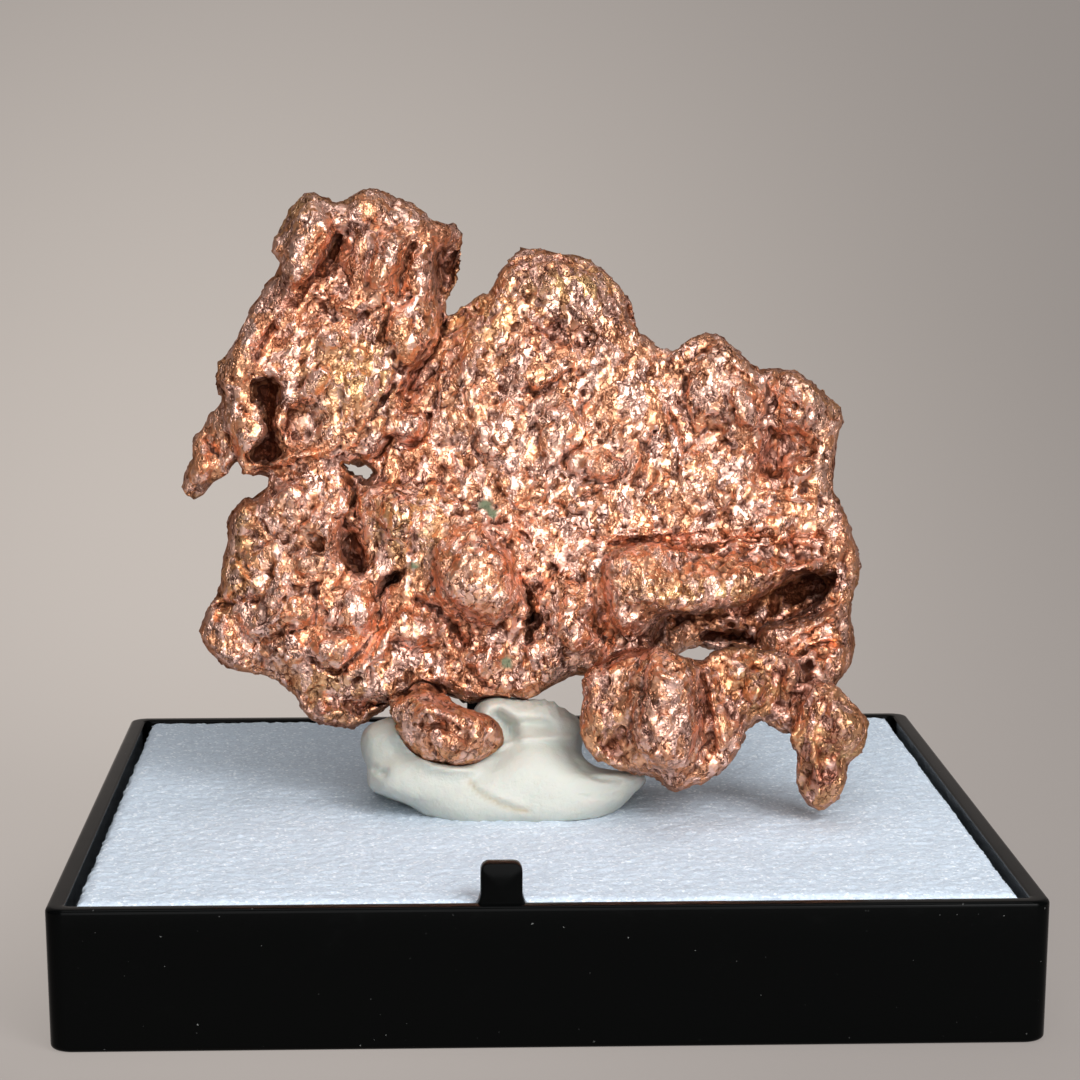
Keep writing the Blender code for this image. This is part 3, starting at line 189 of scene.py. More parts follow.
RIDGE = xz(
    3.2, 13.3, 3.55, 13.95, 4.0, 14.11, 4.37, 14.07, 5.2, 13.8, 6.2, 13.64, 6.55, 13.84, 6.9, 13.9,
    7.93, 13.79, 8.45, 13.95, 8.95, 14.0, 9.57, 13.95, 9.98, 13.84, 10.28, 13.63, 10.35, 13.23,
    10.34, 12.97, 9.98, 13.02, 9.47, 12.97, 8.95, 12.86, 8.55, 12.55, 8.03, 12.25, 7.6, 11.98, 7.2, 11.88,
    6.65, 11.8, 6.2, 11.7, 5.67, 11.63, 5.05, 11.61, 4.4, 11.65, 3.4, 12.0
)
BACK_WALL = xz(
    3.4, 13.4, 3.7, 11.4, 4.2, 10.6, 4.9, 10.3, 6.0, 10.3, 6.5, 10.1, 7.2, 9.9, 8.0, 9.6, 9.0, 9.2,
    10.5, 9.3, 11.0, 9.9, 11.1, 10.9, 11.1, 12.0, 11.2, 13.6, 9.0, 14.0, 6.0, 14.0
)
RIGHT_FLANK = xz(
    11.36, 13.2, 11.3, 12.4, 11.22, 11.98, 11.1, 11.57, 11.12, 11.26, 11.2, 10.95, 11.23, 10.53,
    11.27, 10.07, 11.24, 9.67, 11.07, 9.43, 10.8, 9.27, 10.66, 9.12, 10.5, 8.6, 9.8, 8.2, 9.0, 8.1,
    8.6, 8.8, 8.2, 9.6, 7.8, 10.35, 7.9, 11.0, 8.7, 11.2, 9.6, 11.5, 10.4, 12.2, 10.8, 13.3
)
STRAND = xz(
    5.9, 9.9, 6.5, 10.2, 7.2, 10.2, 7.9, 10.1, 8.6, 10.15, 9.3, 9.9, 9.9, 9.4, 10.5, 9.0, 10.6, 8.5,
    10.0, 7.7, 9.3, 7.2, 9.1, 7.14, 8.8, 7.22, 8.44, 7.4, 8.08, 7.64, 7.78, 7.58, 7.52, 7.48, 7.3, 6.9,
    6.8, 6.7, 6.3, 7.0, 5.9, 8.0
)
BLOCK = xz(
    1.73, 9.3, 1.9, 9.7, 2.5, 9.85, 3.1, 10.1, 3.7, 10.15, 4.1, 10.15, 4.5, 10.15, 5.08, 10.0, 5.46, 9.85,
    5.9, 9.8, 6.4, 9.4, 6.8, 8.6, 7.1, 7.8, 7.5, 7.3, 7.5, 6.88, 7.1, 6.67, 6.97, 6.3, 6.8, 5.99,
    6.43, 5.89, 6.22, 5.63, 5.9, 5.45, 5.65, 5.43, 5.23, 5.22, 5.0, 5.12, 4.82, 5.27, 4.56, 5.59,
    4.25, 5.77, 3.9, 5.82, 3.53, 5.77, 3.17, 5.87, 2.86, 6.0, 2.5, 6.1, 2.19, 6.32, 1.98, 6.58, 1.88, 6.9,
    1.73, 7.1, 1.65, 7.53, 1.68, 8.0, 1.8, 8.47, 1.73, 8.83
)
BLOCK_FACE = xz(
    4.1, 10.1, 4.5, 10.1, 5.08, 9.95, 5.46, 9.7, 5.6, 9.2, 5.72, 8.68, 5.76, 7.8, 5.76, 7.0, 5.7, 6.6,
    5.38, 6.1, 5.08, 5.8, 4.5, 5.9, 4.1, 6.3, 3.75, 6.74, 3.65, 7.53, 3.75, 8.83, 3.85, 9.6
)
LEG = xz(
    9.1, 7.14, 9.4, 7.8, 9.9, 8.8, 10.3, 8.95, 10.63, 8.86, 10.86, 8.6, 11.17, 8.29, 11.48, 8.03,
    11.69, 7.82, 11.84, 7.56, 11.77, 7.25, 11.74, 6.88, 11.53, 6.52, 11.22, 6.33, 11.12, 6.1, 11.17, 5.73,
    11.14, 5.31, 11.0, 4.9, 10.8, 4.72, 10.57, 4.59, 10.5, 4.42, 10.24, 4.32, 9.98, 4.38, 9.78, 4.58,
    9.57, 4.78, 9.47, 5.1, 9.34, 5.47, 9.42, 5.94, 9.42, 6.52, 9.2, 6.83
)
LOW_LOBE = xz(
    -5.2, 8.3, -5.08, 7.98, -4.87, 7.56, -4.66, 7.02, -4.4, 6.7, -4.04, 6.34, -3.63, 6.15, -3.2, 6.11,
    -2.8, 6.08, -2.4, 6.15, -2.07, 6.33, -1.82, 6.55, -1.45, 6.75, -1.1, 7.02, -1.25, 7.35, -1.46, 7.55,
    -1.56, 7.76, -1.77, 7.9, -2.08, 7.95, -2.3, 8.05, -2.9, 8.2, -3.4, 8.55, -4.0, 8.85, -4.8, 8.75
)
BACK_LUMP = xz(
    -4.5, 17.0, -1.0, 19.0, 3.0, 18.5, 6.5, 16.0, 6.0, 12.5, 3.0, 10.2, -1.0, 9.4, -4.0, 10.5, -5.6, 13.5
)

# Each mass of the nugget: centre, front depth, back depth, edge radius, forward slope per mm to the
# right, forward slope per mm up, crown (how far the middle stands forward), outline
MASSES = (
    ((-6.4, 21.3), -1.3, 1.5, 0.75, -0.1, -0.04, 0.35, TOWER),
    ((-10.9, 17.7), -0.7, 0.5, 0.45, 0.1, 0.0, 0.15, TAIL),
    ((2.0, 17.4), -0.9, 1.2, 0.6, 0.02, -0.07, 0.5, MAIN_PLATE),
    ((-8.2, 12.4), -1.5, 0.8, 0.6, 0.05, -0.06, 0.35, LEFT_PLATE),
    ((-1.0, 12.1), -1.9, 0.9, 0.6, 0.0, -0.05, 0.2, MIDDLE),
    ((-2.0, 12.9), -2.6, -0.5, 0.8, 0.0, 0.0, 0.7, DOME),
    ((1.1, 11.5), -2.4, -0.5, 0.55, 0.0, 0.0, 0.35, SMALL_LOBE),
    ((3.5, 12.2), -2.9, -0.5, 0.8, 0.0, 0.0, 0.5, ROUND_LOBE),
    ((6.2, 12.8), -3.1, -0.6, 0.55, -0.16, -0.35, 0.3, RIDGE),
    ((7.6, 11.9), 0.4, 1.9, 0.5, 0.0, 0.0, 0.0, BACK_WALL),
    ((9.9, 10.2), -2.0, 0.9, 0.6, 0.05, -0.25, 0.2, RIGHT_FLANK),
    ((8.3, 8.8), -3.9, -2.3, 0.55, -0.12, 0.0, 0.25, STRAND),
    ((4.4, 7.9), -5.1, -2.0, 0.8, 0.0, -0.05, 0.2, BLOCK),
    ((4.8, 8.0), -6.0, -4.0, 0.6, -0.1, 0.0, 0.2, BLOCK_FACE),
    ((10.4, 6.9), -5.0, -3.4, 0.5, 0.0, 0.05, 0.25, LEG),
    ((-3.2, 7.5), -4.3, -1.6, 0.8, 0.05, -0.15, 0.3, LOW_LOBE),
    ((0.5, 14.0), 0.0, 2.6, 1.2, 0.0, 0.0, -0.6, BACK_LUMP),
)

# Bridges that carry the block, the strand, the leg and the low lobe: (x, y, z, radius) from end to end
BRIDGES = (
    ((3.0, -0.6, 10.6, 1.0), (3.2, -1.8, 9.9, 1.1), (3.6, -3.0, 9.0, 1.2)),
    ((9.6, -1.0, 9.8, 0.9), (9.5, -2.2, 9.3, 0.9), (9.4, -3.4, 8.8, 0.7)),
    ((9.4, -3.2, 8.8, 0.7), (10.0, -3.9, 8.3, 0.7), (10.4, -4.3, 7.8, 0.7)),
    ((7.0, -3.2, 8.8, 0.8), (6.2, -3.6, 8.4, 0.9), (5.2, -3.8, 8.0, 1.0)),
    ((-4.2, -0.8, 9.4, 0.8), (-4.1, -2.0, 8.7, 0.8), (-3.8, -3.0, 8.0, 0.9)),
)

# Broad folds of the back: push outward (minus cuts in), half width, path
BACK_STROKES = (
    (0.8, 1.6, xz(-6.5, 25.0, -7.0, 22.0, -8.5, 19.0)),
    (-0.7, 1.1, xz(-4.6, 24.5, -5.2, 21.5, -5.0, 18.5)),
    (0.7, 1.4, xz(0.5, 23.0, 2.5, 20.5, 3.0, 18.0)),
    (-0.8, 1.0, xz(4.6, 20.0, 5.2, 17.0, 7.4, 15.0)),
    (0.9, 1.5, xz(8.8, 18.6, 9.4, 16.0, 8.8, 13.6)),
    (-0.7, 0.9, xz(-2.6, 20.4, -1.6, 17.6, 0.6, 15.6, 1.0, 13.0)),
    (0.7, 1.3, xz(-9.4, 14.8, -8.4, 12.6, -9.4, 10.6)),
    (-0.6, 0.9, xz(-6.9, 15.4, -6.6, 12.8, -7.2, 10.4)),
    (0.6, 1.2, xz(-3.6, 13.6, -3.2, 11.4, -0.6, 10.2)),
    (0.7, 1.0, xz(9.6, 11.4, 8.0, 10.4)),
    (-0.6, 0.7, xz(6.2, 12.6, 8.4, 12.0, 10.2, 12.4)),
    (0.5, 0.9, xz(4.4, 8.8, 4.6, 6.8)),
)

# Outlines and masses of the putty, drawn in the same way
PUTTY_FLAP = xz(
    -5.97, 6.12, -5.99, 5.75, -5.97, 5.43, -5.75, 5.2, -5.38, 5.06, -4.97, 4.85, -4.46, 4.69, -4.05, 4.3,
    -3.0, 3.8, -1.25, 3.6, 0.5, 3.6, 1.52, 3.8, 2.25, 4.1, 2.76, 4.4, 3.28, 4.75, 3.48, 5.07, 3.84, 5.33,
    4.0, 5.48, 3.9, 5.78, 2.96, 5.9, 2.2, 6.0, 1.63, 6.38, 0.9, 7.0, 0.27, 7.25, -0.53, 7.15, -1.1, 6.92,
    -2.0, 6.5, -3.2, 6.4, -4.4, 6.7, -5.2, 6.6
)
PUTTY_SHOULDER = xz(
    -5.13, 7.87, -5.55, 7.77, -5.9, 7.6, -6.13, 7.34, -6.18, 6.97, -6.2, 6.7, -6.12, 6.4, -5.97, 6.1,
    -5.5, 5.6, -4.5, 5.2, -3.0, 5.2, -1.8, 5.6, -1.4, 6.6, -1.9, 7.4, -3.2, 7.9, -4.2, 8.2
)
PUTTY_HUMP = xz(
    -2.13, 8.2, -2.03, 8.4, -1.77, 8.56, -1.25, 8.6, -0.5, 8.5, 0.5, 8.42, 0.9, 8.2, 1.2, 7.95, 1.52, 7.85,
    1.7, 7.3, 1.6, 6.6, 1.9, 5.6, 1.2, 4.6, -0.5, 4.2, -2.2, 4.4, -2.6, 6.0, -2.5, 7.4
)
PUTTY_MASSES = (
    ((-1.0, 5.2), -3.7, 2.2, 1.3, 0.0, -0.25, 0.3, PUTTY_FLAP),
    ((-3.9, 6.6), -2.8, 1.6, 1.0, 0.0, -0.1, 0.2, PUTTY_SHOULDER),
    ((-0.4, 6.6), -2.3, 3.2, 1.2, 0.0, 0.1, 0.2, PUTTY_HUMP),
)

# Raised and sunk forms of the front: height toward the viewer, rim width, outline and, where the inside
# isn't level, its lean right and up. The border of each is a sharp step.
SHELVES = (
    # tower
    (0.4, 0.35, xz(-8.9, 24.3, -8.1, 26.2, -7.2, 25.6, -7.1, 25.0, -7.85, 23.5, -8.6, 22.9,
     -9.0, 23.6), 0.15, 0.0),
    (-0.95, 0.3, xz(-7.05, 25.1, -6.4, 25.0, -6.65, 24.2, -7.2, 23.5, -8.0, 22.8, -8.75, 22.1, -8.9, 22.1,
     -8.4, 22.8, -7.85, 23.5, -7.4, 24.3), -0.2, 0.0),
    (0.5, 0.45, xz(-5.7, 25.0, -4.5, 24.9, -4.4, 24.3, -4.9, 23.5, -5.1, 22.9, -5.8, 22.8, -6.0, 23.5,
     -5.6, 24.3)),
    (0.35, 0.3, xz(-4.3, 24.4, -3.7, 24.6, -3.6, 23.5, -3.7, 22.3, -4.3, 22.3, -4.5, 23.2)),
    (-0.9, 0.3, xz(-3.6, 24.5, -2.4, 24.6, -2.3, 23.6, -2.8, 22.6, -3.4, 22.5, -3.6, 23.5), -0.4, 0.0),
    (0.35, 0.25, xz(-4.2, 25.5, -3.0, 25.4, -2.6, 25.1, -2.8, 24.7, -3.4, 24.6, -4.1, 24.8), 0.0, 0.2),
    (0.35, 0.3, xz(-6.5, 26.4, -5.9, 26.7, -5.2, 26.3, -5.1, 25.7, -5.8, 25.4, -6.3, 25.6)),
    (0.25, 0.15, xz(-7.6, 21.4, -7.0, 21.65, -6.6, 21.2, -7.0, 20.8, -7.5, 20.9), 0.3, 0.3),
    (0.22, 0.15, xz(-6.5, 21.0, -5.6, 21.25, -5.45, 20.7, -6.2, 20.4), -0.3, 0.2),
    (0.4, 0.35, xz(-5.2, 22.3, -4.2, 22.6, -3.3, 22.5, -3.3, 21.3, -3.8, 20.5, -4.4, 20.1, -4.9, 20.6,
     -5.3, 21.4)),
    (-1.25, 0.35, xz(-9.9, 19.9, -9.2, 20.0, -8.75, 19.6, -8.95, 19.0, -9.0, 18.3, -8.8, 17.7, -8.7, 17.2,
     -9.2, 16.8, -10.2, 16.9, -9.9, 17.5, -9.5, 18.0, -9.6, 18.9, -10.0, 19.3)),
    (-0.4, 0.6, xz(-8.85, 19.1, -8.0, 19.2, -7.2, 18.8, -7.1, 17.8, -7.5, 17.4, -8.6, 17.25,
     -8.9, 18.0), 0.35, -0.2),
    (0.35, 0.22, xz(-10.0, 20.2, -9.0, 20.4, -8.4, 19.8, -8.65, 19.5, -9.2, 19.95)),
    (0.3, 0.25, xz(-10.9, 20.9, -10.2, 21.8, -9.8, 21.4, -9.75, 20.5, -10.0, 19.8, -10.6, 19.7), 0.25, 0.0),
    (0.38, 0.25, xz(-4.75, 18.7, -4.1, 18.8, -3.8, 18.4, -3.9, 17.95, -4.4, 17.75, -4.9, 18.0)),
    (0.25, 0.2, xz(-8.2, 20.4, -7.3, 20.5, -6.9, 20.0, -7.3, 19.4, -8.1, 19.5), 0.2, -0.2),
    (0.22, 0.2, xz(-6.6, 20.2, -5.7, 20.2, -5.6, 19.3, -6.2, 18.7, -6.8, 19.3), -0.2, 0.2),
    # left plate
    (0.32, 0.2, xz(-9.3, 15.9, -8.3, 16.35, -8.0, 15.6, -8.5, 15.0, -9.2, 15.15), 0.1, 0.3),
    (0.45, 0.35, xz(-8.8, 14.5, -8.2, 14.95, -7.2, 15.2, -6.9, 14.6, -6.7, 13.9, -6.9, 13.6, -7.4, 14.1,
     -8.2, 14.4), 0.0, 0.2),
    (-1.0, 0.4, xz(-7.0, 15.0, -6.5, 15.1, -6.1, 14.4, -5.9, 13.6, -5.9, 12.9, -6.3, 12.85, -6.8, 13.4,
     -7.1, 13.9, -6.9, 14.4), -0.5, 0.0),
    (0.38, 0.3, xz(-8.75, 13.2, -8.4, 13.8, -7.8, 13.95, -7.2, 13.6, -7.3, 13.1, -8.0, 12.9)),
    (0.32, 0.25, xz(-9.8, 12.2, -8.9, 12.6, -7.75, 12.5, -7.75, 11.2, -8.3, 11.0, -9.3, 11.3), 0.1, 0.0),
    (0.32, 0.25, xz(-7.6, 12.2, -7.1, 12.4, -6.9, 11.6, -7.0, 11.1, -7.5, 11.1)),
    (0.5, 0.4, xz(-6.9, 12.3, -6.1, 12.7, -5.7, 12.3, -5.6, 11.6, -5.7, 11.0, -6.3, 10.8, -6.9, 11.1,
     -7.0, 11.8)),
    (0.6, 0.35, xz(-7.95, 10.6, -7.4, 10.9, -6.6, 10.9, -6.15, 10.5, -6.4, 10.0, -7.0, 9.62, -7.5, 9.75,
     -7.95, 10.2)),
    (0.45, 0.28, xz(-5.1, 11.9, -4.75, 11.5, -4.9, 10.8, -5.3, 10.1, -6.0, 9.5, -6.9, 9.2, -6.9, 9.45,
     -6.1, 9.9, -5.6, 10.6, -5.3, 11.3)),
    (-1.9, 0.22, xz(-4.45, 13.35, -4.6, 12.9, -5.0, 12.5, -5.5, 12.15, -5.65, 12.35, -5.3, 12.8,
     -4.9, 13.1)),
    (0.5, 0.35, xz(-5.1, 11.2, -4.6, 11.7, -3.7, 11.6, -3.3, 11.2, -3.5, 10.6, -4.3, 10.4,
     -4.9, 10.6), 0.0, -0.2),
    (0.3, 0.25, xz(-11.6, 11.3, -11.0, 11.45, -10.4, 11.0, -10.6, 10.75, -11.4, 10.8)),
    (0.3, 0.2, xz(-11.1, 12.9, -10.7, 12.95, -10.5, 12.5, -10.7, 12.2, -11.1, 12.3)),
    (0.3, 0.25, xz(-7.85, 8.6, -6.8, 8.75, -6.6, 8.0, -7.2, 7.6, -7.9, 7.9)),
    (0.3, 0.25, xz(-10.8, 15.3, -10.2, 15.5, -9.6, 15.1, -9.9, 14.4, -10.7, 14.2), -0.2, 0.0),
    (0.28, 0.2, xz(-6.3, 9.1, -5.1, 9.2, -4.8, 8.8, -5.3, 8.45, -6.1, 8.5), 0.0, -0.3),
    (0.25, 0.2, xz(-9.4, 10.9, -8.4, 10.95, -8.1, 10.2, -8.6, 9.6, -9.3, 10.1), 0.2, 0.0),
    # plate
    (-0.8, 0.3, xz(2.9, 23.2, 3.4, 23.0, 4.0, 22.1, 3.5, 21.4, 3.1, 21.9), -0.4, 0.0),
    (0.22, 0.22, xz(-0.9, 20.1, 0.2, 20.35, 1.5, 20.7, 1.35, 20.15, 0.7, 19.75, 0.1, 19.4, -0.4, 19.5,
     -0.9, 19.7)),
    (0.32, 0.3, xz(0.3, 18.9, 1.2, 19.1, 1.6, 18.5, 1.7, 17.9, 1.2, 17.3, 0.9, 16.6, 0.3, 16.7, 0.2, 17.6,
     -0.1, 18.3)),
    (0.22, 0.15, xz(1.1, 17.2, 1.5, 17.35, 1.9, 17.1, 1.9, 16.6, 1.5, 16.4, 1.1, 16.5)),
    (0.32, 0.15, xz(1.9, 17.3, 2.6, 17.4, 3.1, 16.9, 3.25, 16.5, 2.7, 16.35, 1.9, 16.45,
     1.6, 16.7), 0.0, -0.2),
    (0.22, 0.15, xz(1.4, 16.1, 2.4, 16.25, 2.95, 16.15, 2.5, 15.8, 1.8, 15.65, 1.4, 15.8), 0.0, -0.2),
    (0.28, 0.15, xz(-2.35, 18.4, -1.6, 18.5, -1.2, 18.0, -1.0, 17.4, -1.5, 17.1, -2.1, 17.3,
     -2.3, 17.8), 0.2, 0.0),
    (0.25, 0.2, xz(-1.5, 16.4, -0.5, 16.6, 0.4, 16.4, 0.6, 15.9, 0.2, 15.3, -0.6, 15.2,
     -1.3, 15.6), 0.0, 0.1),
    (0.22, 0.15, xz(0.9, 15.1, 1.6, 15.05, 1.6, 14.3, 1.0, 14.2)),
    (0.2, 0.18, xz(-1.0, 19.3, -0.3, 18.9, -0.5, 18.3, -1.2, 18.5, -1.5, 19.0), 0.2, -0.1),
    (0.2, 0.18, xz(-2.9, 21.5, -2.1, 21.8, -1.6, 21.0, -1.9, 20.2, -2.7, 20.4), 0.1, 0.2),
    (0.2, 0.18, xz(-1.4, 21.0, -0.4, 21.2, -0.2, 20.4, -1.1, 20.2), -0.2, 0.1),
    (0.2, 0.18, xz(2.4, 19.6, 3.4, 20.0, 3.8, 19.3, 3.2, 18.6, 2.5, 18.8), 0.1, 0.1),
    (0.2, 0.18, xz(2.2, 18.5, 3.2, 18.4, 3.3, 17.7, 2.4, 17.6), -0.1, 0.1),
    (-0.22, 0.3, xz(5.8, 18.6, 6.6, 18.7, 7.1, 18.2, 6.9, 17.6, 6.2, 17.3, 5.7, 17.8)),
    (-0.35, 0.3, xz(5.0, 20.8, 5.6, 21.6, 6.4, 21.6, 6.6, 20.9, 5.9, 20.4, 5.3, 20.3), 0.0, 0.3),
    (0.38, 0.2, xz(6.3, 21.4, 6.9, 21.1, 7.8, 20.1, 7.6, 19.8, 6.9, 20.3, 6.4, 20.8), 0.3, 0.0),
    (0.42, 0.3, xz(6.7, 19.7, 7.6, 19.8, 8.1, 19.5, 7.9, 18.9, 7.8, 18.0, 7.3, 18.1, 6.9, 18.8)),
    (0.42, 0.3, xz(8.6, 20.1, 9.3, 20.2, 9.9, 19.7, 10.3, 19.0, 9.9, 18.6, 9.3, 18.8, 8.6, 19.3), 0.0, 0.2),
    (0.32, 0.15, xz(8.7, 18.9, 9.4, 18.8, 10.3, 18.5, 10.1, 18.1, 9.3, 18.3, 8.6, 18.6), 0.0, -0.3),
    (-0.65, 0.4, xz(8.1, 18.2, 9.0, 18.1, 9.9, 17.7, 10.0, 16.9, 9.0, 16.7, 8.7, 16.2, 7.9, 16.3,
     7.7, 17.0)),
    (0.5, 0.14, xz(8.9, 17.0, 9.9, 16.9, 9.9, 16.4, 9.5, 16.3, 9.0, 16.6), 0.0, 0.4),
    (0.32, 0.16, xz(7.3, 17.3, 7.9, 17.4, 7.8, 16.5, 7.4, 16.4), 0.3, 0.0),
    (0.25, 0.2, xz(5.0, 17.3, 5.8, 17.1, 5.9, 16.3, 5.1, 16.2), -0.1, 0.2),
    (0.22, 0.2, xz(3.4, 16.0, 4.3, 16.2, 4.5, 15.4, 3.7, 15.1), 0.2, 0.1),
    (0.22, 0.18, xz(6.3, 15.9, 7.3, 15.8, 7.3, 15.2, 6.4, 15.1), -0.2, 0.0),
    # ridge, gap and right flank
    (-0.35, 0.25, xz(6.6, 11.55, 7.7, 12.0, 8.5, 12.4, 9.3, 12.85, 10.3, 13.1, 10.9, 12.9, 10.3, 12.2,
     9.3, 11.8, 8.7, 11.4, 7.8, 11.3), 0.0, -0.4),
    (-0.75, 0.18, xz(4.9, 12.9, 5.2, 13.75, 6.3, 13.85, 6.8, 14.1, 8.0, 14.05, 9.0, 14.15, 10.3, 13.9,
     10.3, 13.4, 8.5, 13.0, 6.5, 12.8), 0.0, -0.95),
    (-1.5, 0.16, xz(5.9, 10.9, 7.2, 10.9, 8.1, 10.65, 8.25, 10.35, 7.5, 10.5, 6.4, 10.6, 5.7, 10.5)),
    (0.42, 0.2, xz(7.9, 11.1, 8.7, 11.25, 9.0, 10.9, 8.6, 10.4, 8.2, 10.6, 7.9, 10.8), 0.0, -0.2),
    (0.38, 0.2, xz(8.3, 10.4, 9.5, 11.3, 10.9, 11.9, 11.1, 11.3, 10.0, 11.0, 9.2, 10.5,
     8.6, 10.1), 0.0, 0.3),
    (-1.0, 0.2, xz(9.5, 9.9, 9.9, 9.9, 9.95, 9.0, 9.6, 8.8, 9.4, 9.2)),
    (0.32, 0.13, xz(10.3, 10.0, 10.9, 10.5, 11.1, 10.2, 10.6, 9.7)),
    (0.32, 0.13, xz(10.5, 9.5, 11.1, 9.9, 11.0, 9.5, 10.7, 9.2)),
    (0.38, 0.13, xz(6.8, 9.7, 7.4, 9.8, 7.5, 9.3, 7.1, 9.1, 6.8, 9.3), 0.2, 0.0),
    (0.45, 0.15, xz(7.6, 9.5, 8.1, 9.5, 8.15, 8.9, 8.1, 8.3, 7.7, 8.1, 7.3, 8.7), 0.3, 0.0),
    (0.32, 0.12, xz(8.1, 9.3, 8.5, 9.5, 8.5, 9.05)),
    (0.38, 0.13, xz(8.9, 9.9, 9.3, 9.9, 9.4, 8.8, 8.9, 8.7)),
    (0.26, 0.13, xz(4.0, 9.8, 4.4, 9.95, 5.4, 9.0, 5.5, 8.7, 5.1, 8.8, 4.2, 9.4)),
    (0.26, 0.13, xz(4.9, 9.95, 5.4, 9.8, 5.5, 9.3, 5.2, 9.3)),
    (-0.45, 0.2, xz(5.6, 9.9, 6.0, 9.9, 6.2, 8.7, 6.4, 7.4, 6.6, 6.6, 6.0, 6.0, 5.9, 7.0, 5.8, 8.4)),
    (0.3, 0.25, xz(3.6, 9.6, 5.5, 9.6, 5.75, 8.4, 5.75, 6.8, 5.2, 5.8, 4.2, 6.0, 3.8, 6.8, 3.5, 8.0)),
    (-0.4, 0.3, xz(2.1, 7.3, 3.2, 7.6, 3.7, 6.6, 3.7, 6.0, 3.0, 6.0, 2.2, 6.6), 0.3, 0.0),
    (0.32, 0.3, xz(10.2, 8.3, 10.7, 8.4, 11.4, 7.9, 11.8, 7.4, 11.4, 6.6, 10.9, 6.4, 10.5, 7.2), 0.0, 0.2),
    (-1.2, 0.14, xz(2.3, 9.55, 2.6, 9.45, 3.2, 10.1, 3.1, 10.3, 2.6, 10.0)),
    # middle
    (-0.35, 0.25, xz(-3.5, 13.4, -3.0, 14.2, -2.4, 14.75, -2.2, 14.4, -2.8, 13.6, -3.2, 12.9)),
    (0.35, 0.5, xz(-2.3, 14.4, -1.5, 14.2, -0.9, 13.5, -0.6, 12.8, -0.5, 12.0, -1.0, 11.2, -2.0, 10.9,
     -2.6, 11.4, -3.2, 12.2, -3.3, 12.9, -2.9, 13.6)),
    (-1.3, 0.16, xz(-0.25, 11.8, 0.1, 11.7, 0.1, 11.3, -0.2, 11.1, -0.38, 11.3)),
    (0.14, 0.1, xz(-2.15, 15.5, -1.85, 15.8, -1.6, 15.7, -1.35, 15.25, -1.45, 15.0, -1.9, 15.15)),
    (0.36, 0.3, xz(1.0, 12.6, 1.6, 12.7, 1.9, 12.2, 1.6, 11.6, 1.1, 11.7, 0.8, 12.0)),
    (0.4, 0.4, xz(0.6, 11.6, 1.5, 11.6, 2.0, 11.3, 2.4, 10.7, 2.2, 10.2, 1.5, 9.9, 1.0, 10.2, 0.9, 10.8,
     0.5, 11.2)),
    (0.32, 0.5, xz(2.4, 13.5, 3.2, 13.9, 4.2, 13.8, 4.6, 13.2, 4.5, 12.4, 4.5, 11.7, 4.2, 10.9, 3.6, 10.5,
     2.9, 10.7, 2.5, 11.2, 2.3, 12.2)),
    (0.4, 0.3, xz(-0.5, 10.4, 0.0, 10.7, 0.6, 10.5, 0.9, 10.0, 0.8, 9.5, 0.2, 9.4, -0.3, 9.7, -0.6, 10.0)),
    (0.25, 0.2, xz(-2.6, 10.2, -1.6, 10.4, -1.2, 9.7, -1.9, 9.2, -2.7, 9.5), 0.0, 0.2),
    (0.3, 0.25, xz(-5.4, 15.9, -4.4, 15.7, -4.2, 14.7, -5.0, 14.2, -5.6, 14.9), 0.2, 0.0),
    (0.28, 0.2, xz(-4.4, 8.4, -3.2, 8.6, -2.4, 8.1, -3.2, 7.7, -4.3, 7.7), 0.0, 0.2),
    (0.28, 0.2, xz(-3.9, 7.4, -2.8, 7.4, -2.3, 6.9, -2.9, 6.4, -3.6, 6.6)),
)

